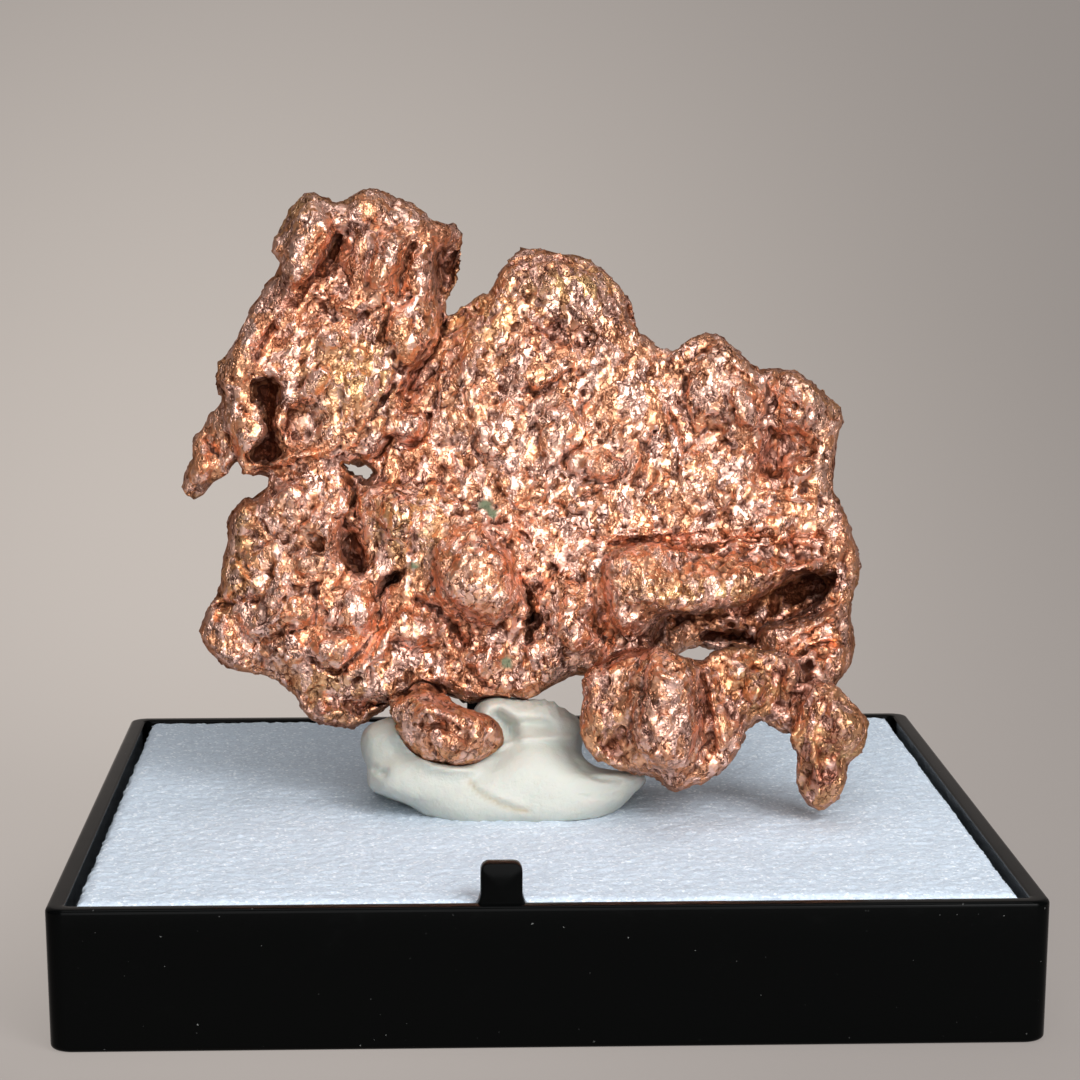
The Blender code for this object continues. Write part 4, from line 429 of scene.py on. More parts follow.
# Folds and cracks of the front, each with a sharp bottom or crest: push, half width, path
CREASES = (
    (-1.3, 0.27, xz(-3.2, 22.1, -3.22, 21.4, -3.6, 20.8, -4.1, 20.1, -4.65, 19.4)),
    (-0.6, 0.4, xz(-4.3, 24.6, -4.62, 23.7, -4.8, 22.8)),
    (-0.6, 0.22, xz(-6.5, 21.95, -5.9, 22.1, -5.3, 22.55)),
    (-0.7, 0.25, xz(-5.5, 21.2, -5.25, 21.7, -5.05, 22.3)),
    (-0.4, 0.3, xz(-7.5, 22.5, -6.9, 21.9)),
    (0.35, 0.22, xz(-7.6, 22.9, -6.9, 22.5, -6.3, 22.3)),
    (0.3, 0.25, xz(-7.2, 24.0, -7.8, 23.0, -8.5, 22.3)),
    (0.5, 0.35, xz(-9.1, 16.95, -8.3, 17.2, -7.3, 17.3)),
    (-0.45, 0.3, xz(-9.7, 20.6, -9.3, 21.4, -8.9, 22.1)),
    (-1.1, 0.26, xz(-5.0, 19.6, -5.45, 18.9)),
    (-1.1, 0.26, xz(-5.1, 17.8, -5.5, 17.1)),
    (-0.5, 0.16, xz(-4.95, 20.3, -4.6, 20.0)),
    (-0.75, 0.22, xz(-3.78, 18.6, -3.72, 18.1, -3.95, 17.75, -4.3, 17.6, -4.75, 17.65)),
    (-0.6, 0.42, xz(-11.5, 17.8, -11.2, 17.3)),
    (-0.5, 0.35, xz(-10.3, 18.95, -10.1, 18.8)),
    (0.3, 0.3, xz(-11.6, 17.2, -11.9, 16.3)),
    (-0.9, 0.4, xz(-6.4, 16.6, -6.35, 15.9, -6.3, 15.1)),
    (-0.55, 0.22, xz(-5.4, 12.3, -5.45, 11.5, -5.6, 11.0, -5.9, 10.6, -6.3, 10.1, -6.7, 9.7, -7.05, 9.5,
     -7.5, 9.65, -8.0, 10.2)),
    (0.3, 0.22, xz(-8.75, 12.9, -8.2, 12.75, -7.5, 12.85, -7.1, 13.2)),
    (-0.45, 0.18, xz(-8.6, 12.55, -7.8, 12.5)),
    (-0.6, 0.22, xz(-7.7, 12.6, -7.68, 12.0, -7.75, 11.2)),
    (0.42, 0.3, xz(-10.2, 10.9, -9.4, 11.3, -8.8, 11.6)),
    (-0.55, 0.26, xz(-9.9, 10.5, -9.0, 10.9, -8.1, 11.1)),
    (-0.65, 0.36, xz(-11.3, 11.85, -10.3, 12.0, -9.6, 12.1)),
    (0.45, 0.3, xz(-10.7, 13.5, -10.2, 12.9, -9.8, 12.5)),
    (-0.35, 0.16, xz(-10.5, 13.7, -10.0, 13.15)),
    (-0.4, 0.16, xz(-10.4, 12.95, -10.3, 12.5, -10.6, 12.25)),
    (-0.45, 0.22, xz(-10.9, 13.65, -10.2, 13.8, -9.3, 14.2)),
    (-0.35, 0.25, xz(-9.7, 14.9, -9.3, 14.5, -8.8, 14.2)),
    (-0.6, 0.3, xz(-7.35, 8.3, -7.3, 8.2)),
    (-0.7, 0.26, xz(-6.4, 8.4, -6.2, 7.9)),
    (-1.3, 0.3, xz(-6.2, 8.3, -5.4, 8.4, -4.6, 8.8, -3.9, 9.1, -3.3, 8.9)),
    (-1.5, 0.42, xz(-3.6, 8.95, -2.9, 8.55, -2.2, 8.1)),
    (-0.4, 0.2, xz(-1.5, 23.6, -0.5, 23.9, 0.8, 24.0, 2.2, 23.5)),
    (-0.45, 0.3, xz(-0.4, 22.65, 0.1, 22.6)),
    (-0.35, 0.35, xz(-0.2, 21.5, 0.6, 21.6, 1.0, 22.0)),
    (-0.32, 0.18, xz(-0.4, 19.4, 0.1, 19.3, 0.9, 19.65, 1.6, 20.1, 2.5, 20.4)),
    (-0.35, 0.2, xz(1.7, 19.4, 1.6, 18.6, 1.8, 17.9, 1.3, 17.3, 1.0, 16.8)),
    (-0.55, 0.2, xz(4.1, 18.0, 4.3, 18.0)),
    (0.32, 0.3, xz(4.3, 18.9, 4.8, 18.1, 5.1, 17.3)),
    (-0.35, 0.28, xz(4.0, 17.8, 3.8, 17.0, 3.5, 16.2)),
    (-0.4, 0.3, xz(5.3, 19.9, 5.1, 19.0, 5.6, 18.0)),
    (-0.45, 0.25, xz(8.2, 20.0, 8.15, 19.3)),
    (-0.4, 0.28, xz(8.5, 19.2, 8.2, 18.6)),
    (-0.6, 0.26, xz(6.7, 15.1, 6.85, 14.8)),
    (0.25, 0.18, xz(7.9, 15.85, 9.0, 15.7, 10.2, 15.75)),
    (-0.25, 0.14, xz(7.9, 15.5, 9.0, 15.45, 10.3, 15.45)),
    (0.25, 0.18, xz(8.2, 15.0, 9.4, 14.95, 10.3, 15.0)),
    (-0.42, 0.16, xz(1.9, 13.8, 2.9, 14.05, 3.9, 14.25, 4.8, 14.05, 5.5, 13.8, 6.4, 13.95, 7.4, 14.2,
     8.6, 14.15, 10.2, 14.3)),
    (0.3, 0.28, xz(2.6, 14.6, 3.9, 14.7, 5.0, 14.4, 6.2, 14.5, 8.0, 14.65)),
    (-0.45, 0.2, xz(3.0, 14.0, 3.7, 14.15, 4.4, 14.05)),
    (-0.35, 0.24, xz(4.9, 13.6, 5.1, 12.9, 5.3, 12.2)),
    (0.3, 0.3, xz(6.8, 13.4, 7.9, 13.0, 8.7, 13.1)),
    (-0.3, 0.22, xz(7.9, 13.6, 8.6, 13.5, 9.6, 13.6)),
    (-0.4, 0.25, xz(4.7, 11.3, 5.6, 11.4, 6.8, 11.5, 7.6, 11.6)),
    (0.4, 0.22, xz(9.3, 10.2, 10.0, 10.55, 10.9, 10.7)),
    (-0.55, 0.24, xz(9.2, 10.0, 10.1, 10.35, 10.9, 10.45)),
    (-0.5, 0.22, xz(9.2, 11.2, 10.1, 11.75, 11.0, 12.1)),
    (-0.5, 0.26, xz(8.65, 9.3, 8.7, 8.2)),
    (-0.3, 0.15, xz(4.5, 9.75, 5.25, 9.1)),
    (0.32, 0.22, xz(6.0, 9.7, 6.3, 8.6, 6.5, 7.8, 6.8, 6.9)),
    (-0.25, 0.2, xz(6.5, 9.3, 6.8, 8.2, 7.0, 7.3)),
    (0.35, 0.45, xz(3.55, 9.4, 3.45, 8.2, 3.75, 6.8)),
    (-0.6, 0.36, xz(10.3, 8.4, 10.4, 8.2)),
    (0.38, 0.36, xz(9.75, 7.0, 10.0, 6.3, 10.1, 5.6, 10.1, 4.9)),
    (-1.2, 0.22, xz(-0.68, 12.98, -0.4, 12.5, -0.25, 12.1, -0.1, 11.7, 0.0, 11.3, -0.25, 10.9,
     -0.15, 10.5)),
    (-0.4, 0.13, xz(-2.35, 14.82, -1.6, 14.55, -1.1, 14.15, -0.9, 13.9)),
    (-0.45, 0.14, xz(-1.25, 14.9, -0.8, 14.7, -0.4, 14.3, -0.2, 13.9, 0.3, 13.7)),
    (0.25, 0.15, xz(-1.6, 14.75, -1.0, 14.5, -0.6, 14.1)),
    (-0.55, 0.2, xz(-0.38, 14.25, -0.3, 14.15)),
    (-0.55, 0.24, xz(0.65, 13.2, 0.8, 13.1)),
    (-0.45, 0.22, xz(1.0, 12.7, 1.5, 12.85, 2.0, 13.1)),
    (-0.45, 0.2, xz(2.0, 11.6, 2.3, 10.9, 2.8, 10.4)),
    (0.55, 0.5, xz(1.9, 13.4, 1.85, 12.5, 2.0, 11.5)),
    (0.55, 0.55, xz(-3.35, 12.0, -3.3, 13.2, -2.8, 14.2, -2.0, 14.7, -1.0, 14.4)),
    (0.4, 0.4, xz(2.2, 13.9, 3.0, 14.35, 4.2, 14.35)),
    (-0.32, 0.16, xz(2.9, 12.0, 3.3, 12.2, 3.7, 12.5)),
    (-0.28, 0.14, xz(3.0, 11.4, 3.3, 11.75)),
    (-0.9, 0.24, xz(0.3, 9.9, 0.4, 9.7)),
    (-0.6, 0.32, xz(-1.5, 11.0, -1.15, 11.25)),
    (-0.9, 0.38, xz(-4.2, 12.1, -3.4, 11.8, -2.9, 11.2, -2.5, 10.5)),
    (-0.5, 0.28, xz(-4.9, 10.6, -4.3, 10.25, -3.5, 10.3)),
    (-0.35, 0.25, xz(-3.3, 10.1, -2.7, 9.9, -1.8, 9.0)),
    (-0.6, 0.32, xz(-1.7, 6.95, -1.35, 6.75)),
    (0.3, 0.25, xz(-4.6, 8.2, -3.4, 8.0, -2.3, 7.4)),
    (-0.3, 0.2, xz(-4.3, 7.6, -3.3, 7.5, -2.5, 7.0)),
)

# Places where daylight shows through the nugget, and how far their cutters reach
OPENING_REACH = 6.0
OPENINGS = (
    xz(-7.05, 17.15, -6.3, 17.05, -5.7, 16.75, -5.62, 16.42, -5.95, 16.25, -6.42, 16.42, -6.85, 16.8),
)

# How large the lumps are and how far the drawing's paths wander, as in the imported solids
LUMP_SIZE = 1.3
WANDER = 0.06

# The first pass: share of the creases and of the back's strokes, size and reach of the straying that
# bends the facets, then each relief's size and its share of the fold height
CREASE_SHARE = 0.85
BACK_SHARE = 1.25
FOLD_STRAY, FOLD_REACH = 1.4, 0.25
LUMP_SHARE = 0.4
BROAD_FACET, BROAD_SHARE = 2.1, 0.8
MIDDLE_FACET, MIDDLE_SHARE = 1.05, 0.3
RIDGE_SIZE, RIDGE_SHARE, RIDGE_MEAN = 1.9, 0.2, 0.35

# The second pass: size and reach of the straying, how much the long facets are squeezed across and
# drawn out along, then each beating's cell size and share
FINE_STRAY, FINE_REACH, PATH_REACH = 0.7, 0.14, 0.08
GRAIN_SQUEEZE, GRAIN_DRAW = 1.25, 0.65
BROAD_BEAT, BROAD_BEAT_SHARE = 1.5, 0.35
SMALL_BEAT, BEAT_SHARE = 0.42, 0.9
BIG_LEAN, SMALL_LEAN, LEAN_SHARE = 0.66, 0.36, 1.1
BIG_CRACK, SMALL_CRACK = (0.9, 0.16), (0.5, 0.2)
CRACK_PATCH = 1.2
FINE_CREASE_SHARE, FINE_CREASE_WIDTH, FINE_SHELF_SHARE = 0.5, 0.65, 0.3

# Where the camera stands, in millimetres, and how far it turns right and tilts down, in degrees
CAMERA_PLACE = (-3.95, -115.37, 29.90)
CAMERA_TURN = 2.080
CAMERA_TILT = 7.806

# The floor and backdrop: half width, near edge, where the floor bends up, the bend's radius, and the
# lowest and the highest of the upright part's rows
FLOOR_HALF = 900.0
FLOOR_NEAR = -100.0
FLOOR_BEND = 260.0
BEND_RADIUS = 160.0
WALL_LOW = 260.0
WALL_HIGH = 700.0

# Where the soft lights look, then each one's name, place, side length and brightness
LIGHTS_TARGET = (0.0, 0.0, 13.0)
SOFT_LIGHTS = (
    ("front_light", (25.0, -165.0, 72.0), 190.0, 2.7),
    ("key_light", (85.0, -140.0, 110.0), 90.0, 6.0),
    ("top_light", (0.0, -10.0, 180.0), 110.0, 1.8),
)

# The backdrop's glow: its middle and reach, right and up, as slopes of the lines of sight
GLOW_CENTRE = (-0.065, -0.117)
GLOW_REACH = (0.26, 0.227)

# The copper's scales: slope taken from each one's random slope, how far the large ones turn from
# upright and are drawn out along, size of the large and of the small ones
SCALE_RISE = (0.68, 0.5, 0.72)
SCALE_SLANT = 38.0
SCALE_SQUEEZE = 0.5
SCALE_SIZE, SMALL_SCALE_SIZE = 0.34, 0.17

# The copper's noises: size of the mottling, the speckling, the cracks and the straying, and its reach
MOTTLE, SPECKLE, CRACK = 1.3, 0.28, 0.42
STRAY, STRAY_REACH = 0.4, 0.45

# Which way the front's long facets run, in degrees up from the right
GRAIN_SLANT = 54.0

# Broad leans of the front, each as a stroke: push toward the viewer, half width, path
LEAN_STROKES = (
    (-1.5, 1.7, xz(-2.6, 25.2, -2.5, 23.5, -2.7, 21.8)),
    (0.45, 1.0, xz(-4.4, 25.0, -5.1, 23.6, -5.7, 22.4)),
    (-0.5, 0.9, xz(-6.4, 24.6, -7.0, 23.2, -7.8, 22.0)),
    (0.35, 0.6, xz(-7.1, 25.1, -7.6, 24.1, -7.9, 23.4)),
    (-1.0, 1.3, xz(-1.2, 24.3, 0.8, 24.7, 2.8, 23.9, 3.6, 22.6)),
    (-0.5, 0.8, xz(-0.4, 21.5, 0.6, 21.5, 1.8, 21.2)),
    (0.35, 1.2, xz(-1.6, 22.0, -2.2, 20.4, -2.4, 19.0)),
    (-0.4, 0.9, xz(7.8, 20.2, 8.2, 18.6, 8.5, 17.2, 8.6, 16.2)),
    (0.35, 0.8, xz(9.7, 19.6, 9.8, 18.4, 9.6, 17.2)),
    (0.4, 1.0, xz(6.0, 20.4, 6.9, 19.3, 7.4, 18.3)),
    (-0.5, 1.0, xz(4.6, 20.6, 4.9, 19.2, 5.4, 17.6)),
    (-0.8, 0.9, xz(-11.2, 15.6, -11.4, 13.4, -11.0, 11.6, -9.8, 10.0, -8.0, 8.6, -6.4, 8.2)),
    (0.4, 0.9, xz(-9.6, 15.6, -9.2, 14.2, -8.9, 12.6)),
    (0.4, 0.8, xz(-7.5, 15.4, -7.2, 14.2, -7.3, 12.6)),
)

# Fine cracks and edges on the front: push toward the viewer (minus cuts in), half width, path
FINE_STROKES = (
    (-0.28, 0.16, xz(-0.28, 19.44, -0.02, 19.34, 0.4, 19.55, 0.8, 19.76, 1.02, 20.0, 1.27, 20.12)),
    (-0.22, 0.14, xz(-0.43, 18.8, -0.17, 19.08, 0.0, 19.3)),
    (-0.22, 0.14, xz(-3.36, 19.68, -3.5, 19.2)),
    (-0.25, 0.15, xz(-2.44, 19.5, -2.38, 18.8, -2.28, 18.5)),
    (-0.2, 0.13, xz(-1.87, 19.93, -2.33, 19.56)),
    (-0.2, 0.13, xz(-0.37, 18.85, -0.73, 18.5)),
    (-0.28, 0.16, xz(-1.77, 18.33, -1.45, 17.96, -1.6, 17.7, -1.05, 17.4)),
    (-0.25, 0.14, xz(-2.23, 17.8, -2.28, 17.56, -2.02, 17.24, -1.8, 16.97)),
    (-0.3, 0.17, xz(-3.1, 15.94, -2.64, 16.45, -2.28, 16.87)),
    (-0.25, 0.14, xz(-1.56, 16.14, -1.46, 16.5, -1.0, 16.5)),
    (-0.2, 0.13, xz(-0.42, 16.35, 0.0, 16.6)),
    (-0.28, 0.15, xz(1.17, 19.03, 1.37, 18.6, 1.63, 18.88, 1.94, 19.3)),
    (-0.28, 0.15, xz(1.75, 17.9, 1.5, 17.4, 1.05, 17.15, 1.0, 16.9, 1.1, 16.7)),
    (-0.2, 0.13, xz(1.22, 16.37, 1.63, 16.5, 1.74, 16.7)),
    (-0.3, 0.15, xz(1.8, 16.28, 2.15, 16.23, 2.56, 16.23, 3.02, 16.28)),
    (-0.35, 0.2, xz(1.68, 15.69, 2.15, 15.82, 2.36, 16.03, 2.82, 16.13)),
    (-0.25, 0.14, xz(0.86, 16.5, 0.7, 16.08, 0.5, 15.92, 0.08, 15.95)),
    (-0.22, 0.13, xz(-0.02, 15.66, 0.34, 15.53, 0.47, 15.77)),
    (-0.25, 0.14, xz(0.65, 15.5, 0.96, 15.4, 1.22, 15.1, 1.74, 15.15)),
    (-0.35, 0.14, xz(4.15, 17.95, 4.2, 17.98)),
    (-0.25, 0.15, xz(4.57, 19.2, 4.67, 18.8, 4.93, 18.4)),
    (-0.25, 0.15, xz(5.55, 20.33, 5.97, 20.53, 6.38, 20.74)),
)

# Patches on the front: x, z, radius across, radius up, strength
SMOOTH_PATCHES = ((-7.9, 18.2, 0.8, 0.9, 1.0), (8.5, 17.5, 0.6, 0.9, 0.9), (-5.9, 10.6, 1.2, 0.7, 0.8))
# Painted shade: patches where sunk recesses are darkened toward umber
PAINTED_SHADE_PATCHES = (
    (8.9, 12.2, 1.6, 0.5, 1.6), (9.9, 12.7, 0.5, 0.35, 2.0), (9.3, 12.2, 0.7, 0.4, 2.0),
    (8.2, 11.5, 0.9, 0.35, 1.6), (6.8, 11.2, 1.8, 0.4, 1.0), (-9.3, 18.3, 0.6, 1.6, 1.0),
    (-5.0, 12.7, 0.6, 0.6, 1.0), (4.4, 10.6, 1.2, 0.5, 1.0), (-3.6, 8.9, 1.8, 0.5, 1.0),
    (0.0, 11.6, 0.5, 1.3, 0.8), (-6.4, 14.0, 0.5, 1.1, 0.8), (-4.1, 20.6, 0.8, 1.6, 0.9),
    (-5.3, 18.3, 0.4, 1.4, 0.9), (7.4, 10.6, 1.0, 0.3, 1.0), (9.7, 9.4, 0.4, 0.8, 0.8),
    (-7.6, 23.6, 0.5, 1.6, 0.6), (-2.8, 23.6, 0.5, 1.2, 0.7), (2.8, 10.0, 0.5, 0.5, 0.9),
)
KEPT_PATCHES = ((-10.8, 16.9, 1.4, 1.4, 1.0), (10.4, 6.6, 1.6, 2.4, 0.6), (-2.8, 7.4, 2.0, 1.2, 0.6))
GOLDEN_PATCHES = (
    (-2.3, 22.0, 1.2, 1.0, 0.9), (1.3, 23.2, 2.2, 0.8, 0.9), (-4.6, 14.6, 1.3, 1.3, 0.8),
    (6.6, 12.2, 2.6, 0.5, 0.9), (8.0, 8.8, 1.4, 1.2, 0.9), (10.3, 6.2, 1.4, 2.2, 1.2),
    (-6.2, 20.0, 1.8, 1.2, 0.7), (-10.6, 14.0, 0.7, 2.2, 0.7), (-7.2, 8.6, 1.6, 0.9, 0.7),
    (2.6, 7.0, 1.0, 1.2, 0.6),
)
# Partly a pale pink tint and partly a painted highlight: these patches turn paler pink where the copper
# shines most
ROSY_AND_HIGHLIGHT_PATCHES = (
    (0.6, 17.2, 3.2, 2.6, 0.9), (8.4, 19.2, 2.4, 1.6, 0.9), (-4.9, 24.0, 0.8, 1.4, 0.9),
    (4.7, 8.2, 1.0, 1.8, 0.8), (-7.8, 14.5, 1.6, 1.4, 0.8), (-2.0, 12.8, 1.0, 1.0, 0.6),
    (3.3, 12.2, 0.8, 1.0, 0.6), (-7.9, 18.2, 0.8, 0.8, 0.8),
)
# Brown tarnish that is partly painted shade: many of these patches darken sides and top edges that turn from
# the light
TARNISH_AND_SHADE_PATCHES = (
    (-3.2, 23.7, 0.7, 1.6, 0.9), (-3.6, 25.2, 1.3, 0.5, 0.7), (-8.6, 22.5, 0.6, 1.6, 0.6),
    (-6.2, 23.2, 0.7, 1.6, 0.6), (0.5, 23.9, 1.9, 0.5, 0.8), (2.9, 22.6, 0.6, 1.2, 0.7),
    (0.9, 21.3, 1.7, 0.7, 0.6), (8.5, 17.4, 0.6, 0.9, 0.7), (6.6, 18.1, 0.9, 0.8, 0.5),
    (10.9, 18.5, 0.4, 2.0, 0.7), (10.9, 14.5, 0.5, 1.8, 0.7), (5.3, 21.4, 0.9, 0.5, 0.7),
    (9.4, 20.4, 0.9, 0.4, 0.6), (-7.5, 8.4, 1.6, 0.5, 0.6), (9.2, 8.4, 2.2, 1.2, 0.8),
    (10.4, 6.2, 1.3, 2.1, 1.1), (3.6, 7.4, 2.4, 1.9, 0.55), (-3.0, 7.2, 1.8, 1.2, 0.4),
    (-5.5, 12.0, 0.8, 1.0, 0.7), (-2.5, 10.6, 1.5, 0.7, 0.6), (-0.5, 8.6, 1.5, 0.5, 0.6),
    (6.0, 8.2, 0.5, 1.5, 0.8), (4.5, 5.6, 1.2, 0.5, 0.6), (9.5, 9.6, 1.2, 0.8, 0.5),
    (11.3, 6.8, 0.5, 1.2, 0.6), (8.2, 12.6, 2.2, 0.5, 0.5), (-3.2, 16.6, 1.2, 0.5, 0.4),
)
# Painted reflection: patches where the orange that copper throws onto itself in its folds is painted, only on
# sunk ground
FOLD_REFLECTION_PATCHES = (
    (6.5, 14.2, 4.5, 0.28, 0.9), (-4.6, 16.7, 1.6, 0.6, 0.6), (-4.1, 17.9, 0.6, 0.6, 0.8),
    (-7.6, 23.4, 0.6, 1.3, 0.7), (-0.4, 8.9, 1.4, 0.4, 0.6), (2.8, 6.9, 0.8, 0.8, 0.5),
    (-0.6, 14.6, 0.8, 0.4, 0.8), (8.0, 11.4, 2.4, 1.0, 0.9), (-9.2, 18.2, 0.6, 1.6, 0.8),
    (-8.8, 21.8, 1.0, 1.8, 0.6), (7.4, 9.6, 2.0, 1.2, 0.7), (-4.2, 19.6, 0.5, 2.6, 0.7),
)
STONE_PATCHES = (
    (-1.75, 15.4, 0.32, 0.3, 1.0), (-1.5, 15.12, 0.22, 0.22, 1.0), (-4.25, 13.3, 0.16, 0.18, 1.0),
    (-1.0, 9.8, 0.24, 0.26, 1.0),
)

# Tints of the copper, the rosy one partly a painted highlight and the tarnish partly painted shade:
# attribute, patches on the front, then the noise that spreads it over the back by its size, seed, gain and
# level
TINTS = (
    ("golden", GOLDEN_PATCHES, 3.0, SEED + 50, 1.2, 0.0),
    ("rosy_tint_and_highlight", ROSY_AND_HIGHLIGHT_PATCHES, 3.4, SEED + 51, 1.2, 0.0),
    ("tarnish", TARNISH_AND_SHADE_PATCHES, 2.6, SEED + 52, 1.4, 0.2),
)

# Strokes on the putty's front: push toward the viewer, half width, path
PUTTY_STROKES = (
    (0.34, 0.42, xz(-4.9, 7.2, -4.3, 6.5, -3.7, 6.1, -2.96, 5.95, -2.3, 6.0, -1.8, 6.3, -1.3, 6.7,
     -0.7, 7.0, 0.3, 7.1, 1.4, 7.05)),
    (-1.05, 0.5, xz(-1.3, 7.85, -1.0, 7.6, -0.85, 7.2)),
    (-0.4, 0.4, xz(-0.9, 7.55, -0.3, 7.6, 0.4, 7.55)),
    (-0.07, 0.24, xz(-2.32, 5.5, -2.11, 5.21, -1.72, 4.92, -1.26, 4.69, -0.8, 4.51, -0.33, 4.43)),
    (0.1, 0.22, xz(-2.1, 5.45, -1.6, 5.12, -1.1, 4.88, -0.5, 4.68)),
    (0.18, 0.3, xz(1.5, 6.9, 1.9, 6.3, 2.4, 6.05, 2.9, 5.95)),
    (-0.22, 0.22, xz(1.3, 6.5, 1.7, 5.95, 2.3, 5.6, 3.0, 5.5)),
    (-0.12, 0.14, xz(1.95, 5.18, 2.66, 5.24, 3.37, 5.38)),
    (-0.12, 0.12, xz(1.5, 4.9, 2.1, 4.95, 2.9, 5.0)),
    (-0.35, 0.3, xz(-6.4, 6.1, -5.9, 6.05, -5.4, 5.9)),
)
PUTTY_CREASE = ((1.0, 0.2, PUTTY_STROKES[3][2]),)

# A thin web that closes most of the gap between the block and the middle: a mass as above
WEB = ((4.2, 10.5), 0.1, 1.6, 0.40, 0.0, 0.0, 0.0,
       xz(3.2, 9.8, 3.3, 11.2, 4.4, 11.5, 5.2, 11.3, 5.25, 10.6, 5.0, 9.9, 4.2, 9.6))


# ---------------------------------------------------------------- surfaces worked out with numpy

def resampled_outline(outline, spacing):
    """A closed outline read at even steps along its length."""
    corners = np.array(outline + outline[:1], dtype=float)
    steps = np.linalg.norm(np.diff(corners, axis=0), axis=1)
    along = np.concatenate([[0.0], np.cumsum(steps)])
    count = max(16, int(along[-1] / spacing))
    wanted = np.linspace(0.0, along[-1], count, endpoint=False)
    return np.column_stack([np.interp(wanted, along, corners[:, axis]) for axis in (0, 1)])


def tube_faces(rings, around):
    """Quads of a closed grid of rings, with a fan of triangles at each end onto a pole vertex."""
    index = np.arange(around)
    after = (index + 1) % around
    near = (np.arange(rings - 1) * around)[:, None]
    quads = np.stack([near + index, near + around + index, near + around + after, near + after], -1)
    start = rings * around
    last = (rings - 1) * around
    first_fan = np.column_stack([np.full(around, start), index, after])
    last_fan = np.column_stack([np.full(around, start + 1), last + after, last + index])
    return quads.reshape(-1, 4).tolist() + first_fan.tolist() + last_fan.tolist()


def mass_surface(centre, front, back, radius, slope_x, slope_z, crown, outline, spacing=0.15):
    """A closed cushion: a function of the way round its outline and of the way from front to back.

    A ring is the outline drawn in toward the centre by a scale and an inset. Over the rim, a half
    round, inset = radius (1 - sin t) and depth = radius (1 - cos t). The front stands forward by
    crown (1 - share squared), where share is the part of the way out from the centre. Front and back
    lean by the two slopes.
    """
    rim = resampled_outline(outline, spacing)
    middle = np.array(centre)
    reach = np.linalg.norm(rim - middle, axis=1)
    direction = (rim - middle) / reach[:, None]
    radius = min(radius, (back - front) / 2.0)
    turn = np.radians(np.linspace(0.0, 90.0, 7))
    scale = np.concatenate([[0.1, 0.3, 0.5, 0.7, 0.88], np.ones(len(turn))])
    inset = np.concatenate([np.full(5, radius), radius * (1.0 - np.sin(turn))])
    depth = np.concatenate([np.zeros(5), radius * (1.0 - np.cos(turn))])
    distance = np.maximum(reach - inset[:, None], 0.3 * reach) * scale[:, None]
    flat = middle + direction * distance[..., None]
    lean = slope_x * (flat[..., 0] - middle[0]) + slope_z * (flat[..., 1] - middle[1])
    swell = crown * (1.0 - (distance / reach) ** 2)
    near_side = np.stack([flat[..., 0], front + depth[:, None] - lean - swell, flat[..., 1]], -1)
    far_side = np.stack([flat[..., 0], back - depth[:, None] - lean, flat[..., 1]], -1)
    rings = np.concatenate([near_side, far_side[::-1]])
    poles = np.array([rings[0].mean(axis=0), rings[-1].mean(axis=0)])
    return np.vstack([rings.reshape(-1, 3), poles]), tube_faces(len(rings), len(rim))


def bridge_surface(stations, around=24):
    """A round profile carried along a path of stations, its radius changing from one to the next."""
    path = np.array([station[:3] for station in stations])
    radii = np.array([station[3] for station in stations])
    tangent = np.gradient(path, axis=0)
    tangent /= np.linalg.norm(tangent, axis=1)[:, None]
    side = np.cross(tangent, (0.0, 0.0, 1.0))
    side /= np.linalg.norm(side, axis=1)[:, None]
    rise = np.cross(side, tangent)
    angle = -np.linspace(0.0, 2.0 * math.pi, around, endpoint=False)
    rings = path[:, None, :] + radii[:, None, None] * (
        np.cos(angle)[None, :, None] * side[:, None, :] + np.sin(angle)[None, :, None] * rise[:, None, :])
    poles = np.array([path[0] - tangent[0] * radii[0] * 0.5, path[-1] + tangent[-1] * radii[-1] * 0.5])
    return np.vstack([rings.reshape(-1, 3), poles]), tube_faces(len(path), around)


def mesh_from(name, points, faces):
    """A mesh data block from coordinates and faces."""
    mesh = bpy.data.meshes.new(name)
    mesh.from_pydata(points.tolist(), [], faces)
    mesh.update()
    return mesh


def show(name, mesh):
    """A new object at the origin that holds a mesh."""
    thing = bpy.data.objects.new(name, mesh)
    bpy.context.scene.collection.objects.link(thing)
    return thing


def evaluated(thing):
    """A copy of an object's mesh with its modifiers worked out. The object itself is removed."""
    graph = bpy.context.evaluated_depsgraph_get()
    mesh = bpy.data.meshes.new_from_object(thing.evaluated_get(graph))
    bpy.data.objects.remove(thing, do_unlink=True)
    return mesh


def remeshed(mesh, voxel):
    """The same closed skin on an even grid of the given size."""
    thing = show("remesh_work", mesh)
    step = thing.modifiers.new("Even", "REMESH")
    step.mode = "VOXEL"
    step.voxel_size = voxel
    return evaluated(thing)


def fused(surfaces, voxel):
    """Closed surfaces joined into one mesh and fused into one skin."""
    counts = np.cumsum([0] + [len(points) for points, faces in surfaces])
    faces = [[corner + start for corner in face]
             for start, (points, quads) in zip(counts, surfaces) for face in quads]
    return remeshed(mesh_from("masses", np.vstack([points for points, quads in surfaces]), faces), voxel)


def thinned(mesh, triangles):
    """The same skin with its flattest places thinned to a number of triangles."""
    mesh.calc_loop_triangles()
    if len(mesh.loop_triangles) <= triangles:
        return mesh
    thing = show("thin_work", mesh)
    step = thing.modifiers.new("Thin", "DECIMATE")
    step.ratio = triangles / len(mesh.loop_triangles)
    return evaluated(thing)


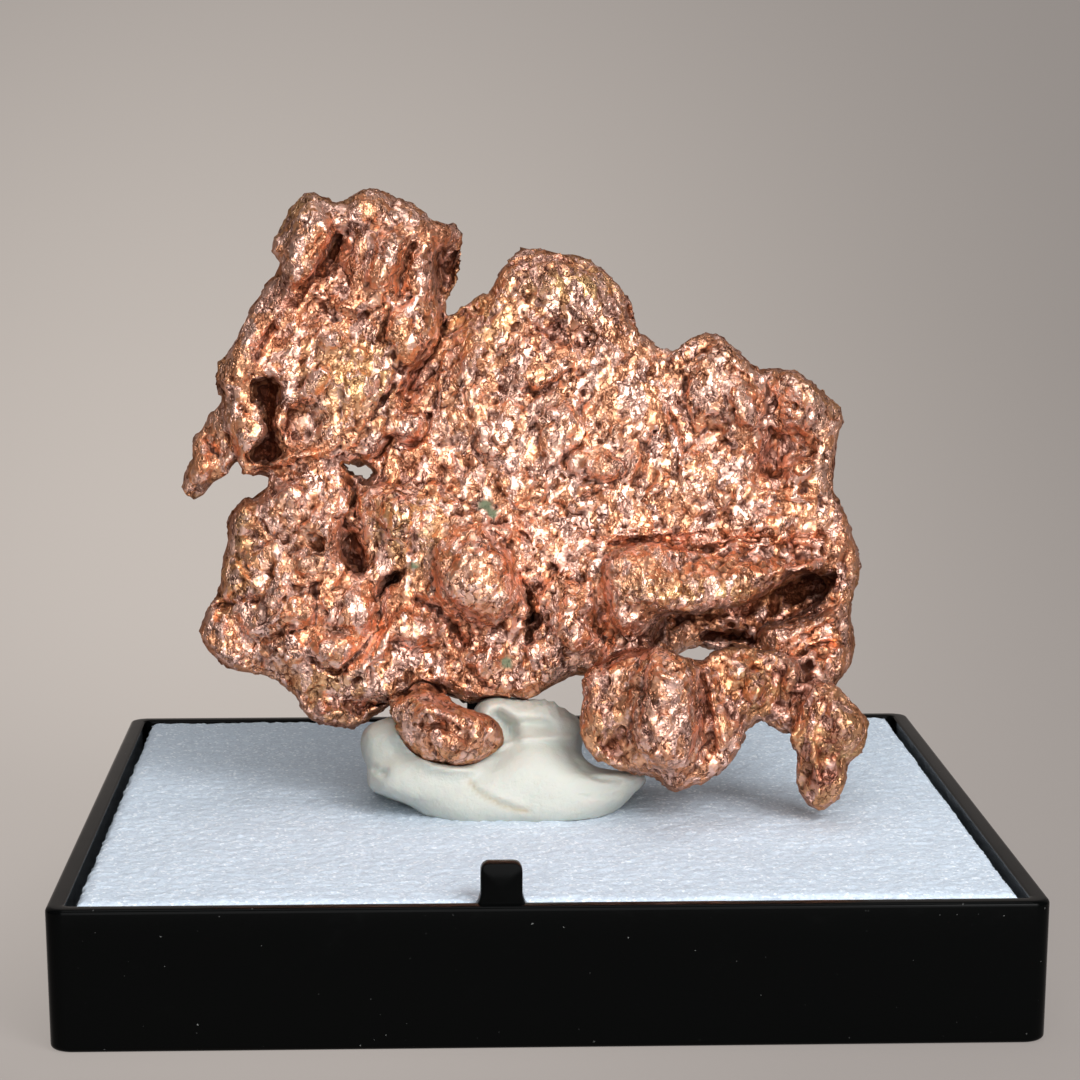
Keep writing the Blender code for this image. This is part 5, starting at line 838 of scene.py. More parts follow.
def opened(mesh, openings):
    """The same skin with a prism cut through it, front to back, at each outline."""
    thing = show("open_work", mesh)
    tools = []
    for outline in openings:
        flat = np.array(outline)
        rings = np.stack([np.insert(flat, 1, depth, axis=1) for depth in (OPENING_REACH, -OPENING_REACH)])
        poles = np.array([rings[0].mean(axis=0), rings[1].mean(axis=0)])
        tools.append(show("opening", mesh_from("opening", np.vstack([rings.reshape(-1, 3), poles]),
                                               tube_faces(2, len(flat)))))
        cut = thing.modifiers.new("Open", "BOOLEAN")
        cut.operation = "DIFFERENCE"
        cut.solver = "EXACT"
        cut.object = tools[-1]
    mesh = evaluated(thing)
    for tool in tools:
        bpy.data.objects.remove(tool, do_unlink=True)
    return mesh


def read_points(mesh):
    """Vertex coordinates and vertex normals as arrays."""
    points = np.empty(len(mesh.vertices) * 3, dtype=np.float32)
    mesh.vertices.foreach_get("co", points)
    normals = np.empty(len(mesh.vertices) * 3, dtype=np.float32)
    mesh.vertices.foreach_get("normal", normals)
    return points.reshape(-1, 3).astype(float), normals.reshape(-1, 3).astype(float)


def write_points(mesh, points):
    """Put coordinates back into a mesh."""
    mesh.vertices.foreach_set("co", np.ascontiguousarray(points, dtype=np.float32).ravel())
    mesh.update()


def write_attribute(mesh, name, values):
    """Store one number per vertex under a name that a material can read."""
    layer = mesh.attributes.new(name, "FLOAT", "POINT")
    layer.data.foreach_set("value", np.ascontiguousarray(values, dtype=np.float32))


def edges_of(mesh):
    """The two vertex numbers of every edge."""
    pairs = np.empty(len(mesh.edges) * 2, dtype=np.int32)
    mesh.edges.foreach_get("vertices", pairs)
    return pairs.reshape(-1, 2)


def relaxed(values, pairs, rounds, share=0.6):
    """Each vertex's values drawn toward the mean of its neighbours, a number of rounds."""
    count = len(values)
    degree = np.bincount(pairs.ravel(), minlength=count).clip(1)
    for turn in range(rounds):
        total = np.empty_like(values)
        for axis in range(values.shape[1]):
            total[:, axis] = (np.bincount(pairs[:, 0], values[pairs[:, 1], axis], count)
                              + np.bincount(pairs[:, 1], values[pairs[:, 0], axis], count))
        values = values + share * (total / degree[:, None] - values)
    return values


def biggest_shell(mesh):
    """Drop loose specks: every vertex takes the lowest number it is joined to, and the commonest stays."""
    pairs = edges_of(mesh)
    label = np.arange(len(mesh.vertices))
    while True:
        lowest = np.minimum(label[pairs[:, 0]], label[pairs[:, 1]])
        fresh = label.copy()
        np.minimum.at(fresh, pairs[:, 0], lowest)
        np.minimum.at(fresh, pairs[:, 1], lowest)
        fresh = fresh[fresh]
        if np.array_equal(fresh, label):
            break
        label = fresh
    keep = np.argmax(np.bincount(label))
    if np.all(label == keep):
        return
    shape = bmesh.new()
    shape.from_mesh(mesh)
    shape.verts.ensure_lookup_table()
    bmesh.ops.delete(shape, geom=[shape.verts[i] for i in np.where(label != keep)[0]], context="VERTS")
    shape.to_mesh(mesh)
    shape.free()
    mesh.update()


# ---------------------------------------------------------------- relief

def lattice_noise(points, size, seed):
    """Smooth noise of about -1 to 1: random values on a cubic lattice, blended between its corners."""
    table = np.random.default_rng(seed).uniform(-1.0, 1.0, (32, 32, 32))
    scaled = points / size
    cell = np.floor(scaled).astype(int)
    part = scaled - cell
    part = part * part * (3.0 - 2.0 * part)
    value = np.zeros(len(points))
    for corner in range(8):
        step = np.array([corner & 1, (corner >> 1) & 1, (corner >> 2) & 1])
        weight = np.prod(np.where(step, part, 1.0 - part), axis=1)
        place = (cell + step) % 32
        value += weight * table[place[:, 0], place[:, 1], place[:, 2]]
    return value


def slope_noise(points, size, seed):
    """Noise of about -1 to 1 from random slopes at the lattice corners, blended between them."""
    table = np.random.default_rng(seed).normal(size=(32, 32, 32, 3))
    table /= np.linalg.norm(table, axis=-1, keepdims=True)
    scaled = points / size
    cell = np.floor(scaled).astype(int)
    part = scaled - cell
    ease = part ** 3 * (part * (part * 6.0 - 15.0) + 10.0)
    value = np.zeros(len(points))
    for corner in range(8):
        step = np.array([corner & 1, (corner >> 1) & 1, (corner >> 2) & 1])
        weight = np.prod(np.where(step, ease, 1.0 - ease), axis=1)
        place = (cell + step) % 32
        slope = table[place[:, 0], place[:, 1], place[:, 2]]
        value += weight * np.sum(slope * (part - step), axis=1)
    return value * 1.6


def creases(points, size, seed):
    """Sharp-topped folds from 0 to 1: one less the size of the noise, squared."""
    return np.clip(1.0 - np.abs(slope_noise(points, size, seed)) * 1.5, 0.0, 1.0) ** 2


def facets(points, size, seed):
    """Cells round random spots. Gives each cell's leaning height and the way in from its border.

    The nearest spot owns a point. The lean is the cell's own random slope times the way from the spot,
    and the border is the second nearest distance less the nearest.
    """
    draw = np.random.default_rng(seed)
    spots = draw.uniform(0.1, 0.9, (16, 16, 16, 3))
    slopes = draw.normal(size=(16, 16, 16, 3))
    scaled = points / size
    base = np.floor(scaled).astype(int)
    nearest = np.full(len(points), 9.0)
    second = np.full(len(points), 9.0)
    lean = np.zeros(len(points))
    for step in np.ndindex(3, 3, 3):
        cell = base + np.array(step) - 1
        place = cell % 16
        away = scaled - cell - spots[place[:, 0], place[:, 1], place[:, 2]]
        distance = np.linalg.norm(away, axis=1)
        closer = distance < nearest
        second = np.where(closer, nearest, np.minimum(second, distance))
        slope = slopes[place[:, 0], place[:, 1], place[:, 2]]
        lean = np.where(closer, np.sum(slope * away, axis=1), lean)
        nearest = np.where(closer, distance, nearest)
    return lean, second - nearest


def flattened(points, normals, places, size, share, seed):
    """Beat a skin into flat facets: points in one cell of places move toward that cell's mean plane.

    A cell holds the points whose nearest random spot is the same and that look the same way. The move
    is share times the distance to the plane through their mean along their mean normal.
    """
    spots = np.random.default_rng(seed).uniform(0.1, 0.9, (16, 16, 16, 3))
    scaled = places / size
    base = np.floor(scaled).astype(int)
    nearest = np.full(len(points), 9.0)
    owner = np.zeros(len(points), dtype=int)
    for step in np.ndindex(3, 3, 3):
        cell = base + np.array(step) - 1
        place = cell % 16
        distance = np.linalg.norm(scaled - cell - spots[place[:, 0], place[:, 1], place[:, 2]], axis=1)
        closer = distance < nearest
        key = ((cell[:, 0] + 512) * 1024 + cell[:, 1] + 512) * 1024 + cell[:, 2] + 512
        owner = np.where(closer, key, owner)
        nearest = np.where(closer, distance, nearest)
    owner = owner * 2 + (normals[:, 1] < 0.0)
    group = np.unique(owner, return_inverse=True)[1].ravel()
    count = np.bincount(group)[:, None]
    centre = np.stack([np.bincount(group, points[:, k]) for k in range(3)], -1) / count
    facing = np.stack([np.bincount(group, normals[:, k]) for k in range(3)], -1)
    facing /= np.maximum(np.linalg.norm(facing, axis=1, keepdims=True), 1e-9)
    plane = facing[group]
    agree = np.clip(np.sum(plane * normals, axis=1) * 2.0 - 0.4, 0.0, 1.0)
    offset = np.sum((points - centre[group]) * plane, axis=1) * agree * share
    return points - plane * offset[:, None]


def wandering(points, size, seed):
    """Three slope noises side by side, by which the places of a pattern stray."""
    return np.column_stack([slope_noise(points, size, seed + axis) for axis in range(3)])


def toward_viewer(normals):
    """How squarely each point looks at the viewer, from -1 on the back to 1 on the front."""
    return np.clip(-normals[:, 1] * 1.6, -1.0, 1.0)


def stroke_push(flat, strokes, narrow=1.0):
    """How far each point is pushed: push (1 - distance / width) squared, summed over strokes.

    The profile has a sharp bottom or crest, as a fold in metal has.
    """
    total = np.zeros(len(flat))
    for push, width, path in strokes:
        width = width * narrow
        corners = np.array(path, dtype=float)
        low = corners.min(axis=0) - width
        high = corners.max(axis=0) + width
        near = np.where(np.all((flat > low) & (flat < high), axis=1))[0]
        if not len(near):
            continue
        start = corners[:-1]
        run = corners[1:] - start
        away = flat[near][:, None, :] - start
        share = np.clip(np.sum(away * run, axis=2) / np.maximum(np.sum(run * run, axis=1), 1e-9), 0.0, 1.0)
        distance = np.linalg.norm(away - share[..., None] * run, axis=2).min(axis=1)
        total[near] += push * np.clip(1.0 - distance / width, 0.0, 1.0) ** 2
    return total


def shelf_push(flat, shelves):
    """How far each point is pushed by the shelves whose outline holds it.

    With share = min(distance to the outline / rim, 1), the push is
    (1 - (1 - share) squared) (height + lean right (x - centre) + lean up (z - centre)).
    """
    total = np.zeros(len(flat))
    for height, rim, outline, *lean in shelves:
        lean_x, lean_z = lean or (0.0, 0.0)
        corners = np.array(outline)
        near = np.where(np.all((flat > corners.min(axis=0)) & (flat < corners.max(axis=0)), axis=1))[0]
        if not len(near):
            continue
        after = np.roll(corners, -1, axis=0)
        run = after - corners
        away = flat[near][:, None, :] - corners
        share = np.clip(np.sum(away * run, axis=2) / np.sum(run * run, axis=1), 0.0, 1.0)
        distance = np.linalg.norm(away - share[..., None] * run, axis=2).min(axis=1)
        spans = (corners[:, 1] > flat[near, 1, None]) != (after[:, 1] > flat[near, 1, None])
        level = np.where(run[:, 1] == 0.0, 1.0, run[:, 1])
        crossing = corners[:, 0] + run[:, 0] * away[:, :, 1] / level
        inside = np.sum(spans & (flat[near, 0, None] < crossing), axis=1) % 2
        rise = 1.0 - (1.0 - np.clip(distance / rim, 0.0, 1.0)) ** 2
        offset = flat[near] - corners.mean(axis=0)
        total[near] += inside * rise * (height + lean_x * offset[:, 0] + lean_z * offset[:, 1])
    return total


def patch_weight(flat, patches):
    """The strongest of several soft ellipses at each point: strength times a bell of its two radii."""
    total = np.zeros(len(flat))
    for x, z, radius_x, radius_z, strength in patches:
        bell = np.exp(-((flat[:, 0] - x) / radius_x) ** 2 - ((flat[:, 1] - z) / radius_z) ** 2)
        total = np.maximum(total, strength * bell)
    return total


def carried(points):
    """Move each drawn point along its line of sight from the drawing plane to its own depth."""
    eye = np.array(EYE)
    scale = (points[:, 1] - eye[1]) / (DRAWING_DEPTH - eye[1])
    moved = points.copy()
    moved[:, 0] = eye[0] + (points[:, 0] - eye[0]) * scale
    moved[:, 2] = eye[2] + (points[:, 2] - eye[2]) * scale + DRAWING_LIFT
    return moved


# ---------------------------------------------------------------- shader expressions

class Signal:
    """An output socket of a node tree. Arithmetic on it adds Math nodes."""

    def __init__(self, tree, socket):
        self.tree = tree
        self.socket = socket

    def combine(self, operation, first, second):
        return self.tree.add("ShaderNodeMath", {"operation": operation}, {0: first, 1: second})

    def __add__(self, other):
        return self.combine("ADD", self, other)

    def __radd__(self, other):
        return self.combine("ADD", other, self)

    def __sub__(self, other):
        return self.combine("SUBTRACT", self, other)

    def __rsub__(self, other):
        return self.combine("SUBTRACT", other, self)

    def __mul__(self, other):
        return self.combine("MULTIPLY", self, other)

    def __rmul__(self, other):
        return self.combine("MULTIPLY", other, self)

    def __truediv__(self, other):
        return self.combine("DIVIDE", self, other)

    def __pow__(self, other):
        return self.combine("POWER", self, other)

    def __abs__(self):
        return self.combine("ABSOLUTE", self, 0.0)

    def clipped(self):
        """The value held between 0 and 1."""
        return self.tree.add("ShaderNodeClamp", {}, {"Value": self})


class Finish:
    """A material under construction: its nodes, its shader and the millimetre coordinates on it."""

    def __init__(self, name, **plain):
        self.material = bpy.data.materials.new(name)
        self.material.use_nodes = True
        self.nodes = self.material.node_tree.nodes
        self.links = self.material.node_tree.links
        self.shader = self.nodes["Principled BSDF"]
        for socket, value in plain.items():
            self.shader.inputs[socket.replace("_", " ")].default_value = value
        place = self.add("ShaderNodeTexCoord", {}, {}, "Object")
        self.place = self.scaled(place, 1.0 / MM)

    def add(self, kind, settings, inputs, output=0):
        """Add a node: its settings are set first, then each socket gets its value or its link."""
        node = self.nodes.new(kind)
        for name, value in settings.items():
            setattr(node, name, value)
        for name, value in inputs.items():
            if isinstance(value, Signal):
                self.links.new(value.socket, node.inputs[name])
            else:
                node.inputs[name].default_value = value
        return Signal(self, node.outputs[output])

    def vector(self, operation, first, second, output=0):
        """A Vector Math node on two vectors."""
        return self.add("ShaderNodeVectorMath", {"operation": operation}, {0: first, 1: second}, output)

    def scaled(self, vector, factor):
        """A vector times a number."""
        return self.add("ShaderNodeVectorMath", {"operation": "SCALE"}, {0: vector, "Scale": factor})

    def noise(self, size, detail=3.0, roughness=0.55, place=None, output=0):
        """Noise from 0 to 1 whose features are about size millimetres."""
        return self.add("ShaderNodeTexNoise", {}, {
            "Vector": place or self.place, "Scale": 1.0 / size, "Detail": detail,
            "Roughness": roughness}, output)

    def cells(self, size):
        """The random colours of a Voronoi pattern whose cells are about size millimetres."""
        return self.add("ShaderNodeTexVoronoi", {}, {"Vector": self.place, "Scale": 1.0 / size}, "Color")

    def scales(self, size, place):
        """Flat scales as of beaten metal: how high each point stands, and each scale's tint from 0 to 1.

        Each scale's height is its own slope times the way from its middle. The slope is random, from 0
        to 1 along each axis, less SCALE_RISE, so that most scales rise one way and overlap.
        """
        scaled = self.scaled(place, 1.0 / size)
        pick = self.add("ShaderNodeTexVoronoi", {}, {"Vector": scaled, "Scale": 1.0}, "Color")
        middle = Signal(self, pick.socket.node.outputs["Position"])
        slope = self.vector("SUBTRACT", pick, SCALE_RISE)
        way = self.vector("SUBTRACT", scaled, middle)
        height = self.vector("DOT_PRODUCT", slope, way, output="Value")
        return height, self.add("ShaderNodeSeparateColor", {}, {0: pick}, 1)

    def ramp(self, value, low, high):
        """A value stretched so that low becomes 0 and high becomes 1."""
        return self.add("ShaderNodeMapRange", {"interpolation_type": "SMOOTHSTEP"}, {
            "Value": value, "From Min": low, "From Max": high})

    def mix(self, factor, first, second):
        """Two colours mixed. A Mix node's colours are its sockets 6 and 7, and the result is output 2."""
        return self.add("ShaderNodeMix", {"data_type": "RGBA"}, {0: factor, 6: first, 7: second}, 2)

    def attribute(self, name):
        """A number stored on the piece's vertices."""
        return self.add("ShaderNodeAttribute", {"attribute_name": name}, {}, "Fac")

    def drive(self, socket, value):
        """Let a value feed one of the shader's sockets."""
        self.links.new(value.socket, self.shader.inputs[socket])

    def bump(self, height):
        """Turn a height in millimetres into the shader's normal."""
        self.drive("Normal", self.add("ShaderNodeBump", {}, {"Height": height, "Distance": MM}, "Normal"))


def color(sample):
    """A property's colour as a shader colour."""
    return (*sample, 1.0)


# ---------------------------------------------------------------- settings a user would change

def millimetres(name, description, default, low, high):
    """A length property in millimetres."""
    return bpy.props.FloatProperty(name=name, description=description, default=default, min=low, max=high,
                                   precision=3)


def tint(name, description, default):
    """A linear colour property."""
    return bpy.props.FloatVectorProperty(name=name, description=description, default=default, size=3,
                                         subtype="COLOR", min=0.0, max=1.0)


class SPECIMEN_PG_nugget(bpy.types.PropertyGroup):
    """Sizes and colours of the nugget."""

    base_grid: millimetres("Base grid", "Grid on which the masses are first fused", 0.16, 0.12, 0.5)
    fine_grid: millimetres("Fine grid", "Grid of the finished skin", 0.12, 0.1, 0.4)
    triangles: bpy.props.IntProperty(name="Triangles", description="Triangles of the finished skin",
                                     default=196000, min=5000, max=199000)
    fold_height: millimetres("Folds", "Height of the large crumpled folds", 0.13, 0.0, 0.6)
    facet: millimetres("Facets", "Size of the beaten facets", 0.6, 0.2, 3.0)
    crinkle_height: millimetres("Crinkles", "Height of the small crinkles", 0.07, 0.0, 0.3)
    copper: tint("Copper", "Plain bright copper", (0.94, 0.41, 0.24))
    # The pink is partly a tint of the scales and partly a painted highlight on rises
    pink_and_highlight: tint("Pink", "Pale bloom on the high ground", (0.99, 0.62, 0.50))
    gold: tint("Gold", "Golden tarnish", (0.94, 0.60, 0.28))
    # Painted reflection: the orange that copper reflects onto itself in deep folds
    fold_reflection: tint("Ember", "Orange copper in sheltered folds", (0.90, 0.22, 0.07))
    # The tarnish is partly a brown film and partly painted shade on ground turned from the light
    tarnish: tint("Tarnish", "Brown film on the turned-away ground", (0.46, 0.17, 0.11))
    # The umber is partly dark oxide and partly painted shade in hollows, cracks and faces turned away
    umber: tint("Umber", "Dark oxide in the cracks", (0.06, 0.013, 0.006))
    stone: tint("Stone", "Grey-green grains of other minerals", (0.17, 0.19, 0.12))


class SPECIMEN_PG_putty(bpy.types.PropertyGroup):
    """Sizes and colour of the putty."""

    grid: millimetres("Grid", "Grid of the putty's skin", 0.14, 0.1, 0.4)
    room: millimetres("Room", "Space left round the nugget", 0.05, 0.02, 0.3)
    white: tint("White", "Colour of the putty", (0.48, 0.49, 0.445))


class SPECIMEN_PG_foam(bpy.types.PropertyGroup):
    """Sizes and colour of the foam."""

    cells: bpy.props.IntProperty(name="Cells", description="Cells along one side", default=236, min=20,
                                 max=300)
    grain: millimetres("Grain", "Height of the open cells", 0.05, 0.0, 0.3)
    white: tint("White", "Colour of the foam", (0.66, 0.76, 0.87))


class SPECIMEN_PG_base(bpy.types.PropertyGroup):
    """Colour of the box base."""

    black: tint("Black", "Colour of the moulded plastic", (0.0015, 0.0017, 0.0017))


class SPECIMEN_PG_stage(bpy.types.PropertyGroup):
    """Camera, lights and floor."""

    lens: millimetres("Lens", "Focal length on a 36 mm sensor", 108.365, 20.0, 300.0)
    key: bpy.props.FloatProperty(name="Key", description="Scale of all the soft lights", default=1.28,
                                 min=0.0, max=20.0)
    surround: bpy.props.FloatProperty(name="Surround", description="Strength of the light from all round",
                                      default=0.04, min=0.0, max=5.0)
    bright_side: tint("Bright glow", "Glow of the backdrop behind the object's left", (0.52, 0.47, 0.43))
    dim_side: tint("Dim glow", "Glow of the backdrop far from there", (0.27, 0.245, 0.23))


# ---------------------------------------------------------------- the pieces

def settle(thing, node, finish):
    """Finish a piece: smooth shading, its material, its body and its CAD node."""
    thing.data.materials.clear()
    thing.data.materials.append(finish)
    thing.data.shade_smooth()
    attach(thing, BODY)
    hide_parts(node)


def copper_finish(sizes):
    """Bright scaly copper: each scale leans its own way and has its own tint; painted shade darkens cracks,
    hollows and turned faces, painted orange reflection fills folds, painted pink highlight sits on rises.
    """
    finish = Finish("native_copper", Specular_IOR_Level=0.0, Specular_Tint=(0.80, 0.52, 0.42, 1.0))
    high = finish.attribute("rise_highlight")
    shelter = finish.attribute("shelter").clipped()
    mottle = finish.noise(MOTTLE, 3.0, 0.6)
    speckle = finish.noise(SPECKLE, 2.0, 0.6)
    stray = finish.vector("SUBTRACT", finish.noise(STRAY, 2.0, 0.6, output="Color"), (0.5, 0.5, 0.5))
    place = finish.vector("ADD", finish.place, finish.scaled(stray, STRAY_REACH))
    slanted = finish.add("ShaderNodeMapping", {}, {
        "Vector": place, "Rotation": (0.0, math.radians(SCALE_SLANT), 0.0),
        "Scale": (1.0, 1.0, SCALE_SQUEEZE)})
    lean, tint = finish.scales(SCALE_SIZE, slanted)
    small_lean, small_tint = finish.scales(SMALL_SCALE_SIZE, place)
    pick = tint * 0.6 + small_tint * 0.25 + mottle * 0.3
    base = finish.mix(finish.ramp(pick, 0.35, 0.8), color(sizes.copper), color(sizes.pink_and_highlight))
    # Painted highlight: the rosy patches turn paler pink, more so on rises
    base = finish.mix(finish.attribute("rosy_tint_and_highlight") * finish.ramp(pick + high * 0.2, 0.3, 0.8),
                      base, color(sizes.pink_and_highlight))
    gold = (finish.attribute("golden") * 0.8 + 0.2) * finish.ramp(1.2 - pick + speckle * 0.3, 0.5, 0.9)
    base = finish.mix(gold, base, color(sizes.gold))
    # Painted reflection: deep folds take the orange that copper throws onto itself
    base = finish.mix(finish.attribute("fold_reflection") * 0.85, base, color(sizes.fold_reflection))
    # Brown tarnish, partly painted shade on sides turned from the light
    tarnish_and_shade = finish.attribute("tarnish") * finish.ramp(mottle * 0.7 + speckle * 0.5, 0.35, 0.75)
    base = finish.mix(tarnish_and_shade, base, color(sizes.tarnish))
    # Painted shade in hollows, partly dark oxide: sheltered places go toward umber
    base = finish.mix(shelter * 0.92, base, color(sizes.umber))
    # Cracks along the zero lines of a slanting noise go toward umber: partly dark oxide and partly painted
    # shade at the steps
    wrinkle = abs(finish.noise(CRACK, 3.0, 0.6, place=slanted) - 0.5)
    seam = 1.0 - finish.ramp(wrinkle, 0.004, 0.06)
    base = finish.mix(seam * (0.35 + finish.ramp(mottle, 0.42, 0.62) * 0.5), base, color(sizes.umber))
    # Painted shade: faces turned away from the front go toward umber
    base = finish.mix(finish.attribute("turned") * 0.45, base, color(sizes.umber))
    stone = finish.attribute("stone")
    base = finish.mix(stone, base, color(sizes.stone))
    finish.drive("Base Color", base)
    finish.drive("Metallic", 0.94 - stone * 0.94)
    finish.drive("Roughness", 0.31 + speckle * 0.14 + shelter * 0.2)
    finish.bump(lean * 0.11 + small_lean * 0.035 - seam * 0.03 + speckle * 0.04)
    return finish.material


def folded(mesh, sizes):
    """The first pass: strokes and shelves along the line of sight, then slow lumps and leaning facets."""
    points, normals = read_points(mesh)
    flat = points[:, (0, 2)] + WANDER * np.column_stack(
        [lattice_noise(points, LUMP_SIZE, SEED + 2), lattice_noise(points, LUMP_SIZE, SEED + 3)])
    facing = toward_viewer(normals)
    fronts = (shelf_push(flat, SHELVES) + CREASE_SHARE * stroke_push(flat, CREASES)
              + stroke_push(flat, LEAN_STROKES))
    points[:, 1] -= fronts * facing.clip(0.0, 1.0)
    points[:, 1] += BACK_SHARE * stroke_push(flat, BACK_STROKES) * (-facing).clip(0.0, 1.0)
    bent = points + FOLD_REACH * wandering(points, FOLD_STRAY, SEED + 10)
    points += normals * (sizes.fold_height * (
        LUMP_SHARE * lattice_noise(points, LUMP_SIZE, SEED)
        + BROAD_SHARE * facets(bent, BROAD_FACET, SEED + 13)[0]
        + MIDDLE_SHARE * facets(bent, MIDDLE_FACET, SEED + 14)[0]
        + RIDGE_SHARE * (creases(points, RIDGE_SIZE, SEED + 4) - RIDGE_MEAN)))[:, None]
    write_points(mesh, points)


def beaten(points, near_normals, flat, bent, sizes):
    """Flat facets beaten into the skin: broad ones, long slanting ones, and small ones on kept places.

    Gives the points and the places on the slanting grain.
    """
    slant = math.radians(GRAIN_SLANT)
    along = bent[:, 0] * math.cos(slant) + bent[:, 2] * math.sin(slant)
    across = bent[:, 2] * math.cos(slant) - bent[:, 0] * math.sin(slant)
    grain = np.column_stack([across * GRAIN_SQUEEZE, bent[:, 1], along * GRAIN_DRAW])
    kept = 1.0 - patch_weight(flat, KEPT_PATCHES)
    points = flattened(points, near_normals, bent, BROAD_BEAT, BROAD_BEAT_SHARE * kept, SEED + 28)
    points = flattened(points, near_normals, grain, sizes.facet, BEAT_SHARE * kept, SEED + 29)
    points = flattened(points, near_normals, bent, SMALL_BEAT, BEAT_SHARE * (1.0 - kept), SEED + 27)
    return points, grain


def crinkles(points, grain, flat, facing, height):
    """Rise of the small crinkles: large and small leans, less the cracks between them, calmer at edges."""
    big, big_edge = facets(grain, BIG_LEAN, SEED + 30)
    small, small_edge = facets(grain, SMALL_LEAN, SEED + 31)
    open_cracks = np.clip(slope_noise(points, CRACK_PATCH, SEED + 33) * 1.5 + 0.4, 0.0, 1.0)
    relief = (LEAN_SHARE * big + LEAN_SHARE * small
              - BIG_CRACK[0] * open_cracks * np.clip(1.0 - big_edge / BIG_CRACK[1], 0.0, 1.0)
              - SMALL_CRACK[0] * open_cracks * np.clip(1.0 - small_edge / SMALL_CRACK[1], 0.0, 1.0))
    calm = 1.0 - 0.7 * patch_weight(flat, SMOOTH_PATCHES) * (facing > 0.0)
    return height * relief * (calm * (0.35 + 0.65 * np.abs(facing)))


def marked(mesh, pairs, coarse, near_normals, flat, facing):
    """Store the painted highlight on rises, painted shade in sheltered and turned-away places, stony grains,
    painted orange reflection in folds, and the tints.

    A point's rise is its height over the skin close by, and its swell its height over the coarse skin.
    """
    points, normals = read_points(mesh)
    rise = np.sum((points - relaxed(points, pairs, 5)) * normals, axis=1)
    swell = np.sum((points - coarse) * normals, axis=1)
    front = facing.clip(0.0, 1.0)
    dark = patch_weight(flat, PAINTED_SHADE_PATCHES) * np.clip(0.3 - swell / 0.25, 0.0, 1.0)
    # Painted highlight: points standing above the skin close by are marked to turn paler pink
    write_attribute(mesh, "rise_highlight", np.clip(0.5 + rise / 0.08, 0.0, 1.0))
    # Painted shade, partly dark oxide: sunk and creased places and the painted shade patches go toward umber
    write_attribute(mesh, "shelter", np.clip(-swell / 0.45 - rise / 0.07 - 0.1, 0.0, 1.0) + dark)
    # Painted shade: faces that turn away from the front are marked to be darkened
    write_attribute(mesh, "turned", np.clip(1.0 + near_normals[:, 1] * 2.8, 0.0, 1.0))
    for name, patches, size, seed, gain, level in TINTS:
        spread = np.clip(slope_noise(points, size, seed) * gain + level, 0.0, 1.0)
        write_attribute(mesh, name, np.maximum(patch_weight(flat, patches) * front, (1.0 - front) * spread))
    write_attribute(mesh, "stone", np.clip(patch_weight(flat, STONE_PATCHES) * front * 4.0 - 1.5, 0.0, 1.0))
    # Painted reflection: orange in deep folds and in its patches
    write_attribute(mesh, "fold_reflection", np.clip(
        patch_weight(flat, FOLD_REFLECTION_PATCHES) * front * np.clip(0.3 - swell / 0.2, 0.0, 1.0)
        + 0.8 * np.clip(-swell / 0.6 - 0.5, 0.0, 1.0), 0.0, 1.0))


def nugget_mesh(sizes):
    """The nugget's skin: fused masses, pushed along the line of sight by the strokes, then crumpled.

    The first pass moves the coarse skin, which is then laid on an even finer grid. The second beats flat
    facets into it, moves it along its normals by small crinkles and pushes the fine strokes in.
    """
    surfaces = [mass_surface(*mass) for mass in (*MASSES, WEB)]
    surfaces += [bridge_surface(bridge) for bridge in BRIDGES]
    mesh = opened(fused(surfaces, sizes.base_grid), OPENINGS)
    folded(mesh, sizes)
    mesh = remeshed(mesh, sizes.fine_grid)
    biggest_shell(mesh)
    pairs = edges_of(mesh)
    points, normals = read_points(mesh)
    flat = points[:, (0, 2)]
    facing = toward_viewer(normals)
    coarse = relaxed(points, pairs, 40)
    near_normals = relaxed(normals, pairs, 12)
    warp = wandering(points, FINE_STRAY, SEED + 20)
    bent = points + FINE_REACH * warp
    points, grain = beaten(points, near_normals, flat, bent, sizes)
    points = points + normals * crinkles(points, grain, flat, facing, sizes.crinkle_height)[:, None]
    strayed = flat + PATH_REACH * warp[:, :2]
    points[:, 1] -= facing.clip(0.0, 1.0) * (
        stroke_push(strayed, FINE_STROKES)
        + FINE_CREASE_SHARE * stroke_push(strayed, CREASES, FINE_CREASE_WIDTH)
        + FINE_SHELF_SHARE * shelf_push(strayed, SHELVES))
    write_points(mesh, points)
    marked(mesh, pairs, coarse, near_normals, flat, facing)
    write_points(mesh, carried(read_points(mesh)[0]) * MM)
    return thinned(mesh, sizes.triangles)


class SPECIMEN_OT_nugget(bpy.types.Operator):
    """Build the copper nugget"""

    bl_idname = "specimen.nugget"
    bl_label = "Copper nugget"

    def execute(self, context):
        sizes = context.scene.specimen_nugget
        nugget = show(NUGGET, nugget_mesh(sizes))
        settle(nugget, "copper_nugget", copper_finish(sizes))
        return {"FINISHED"}


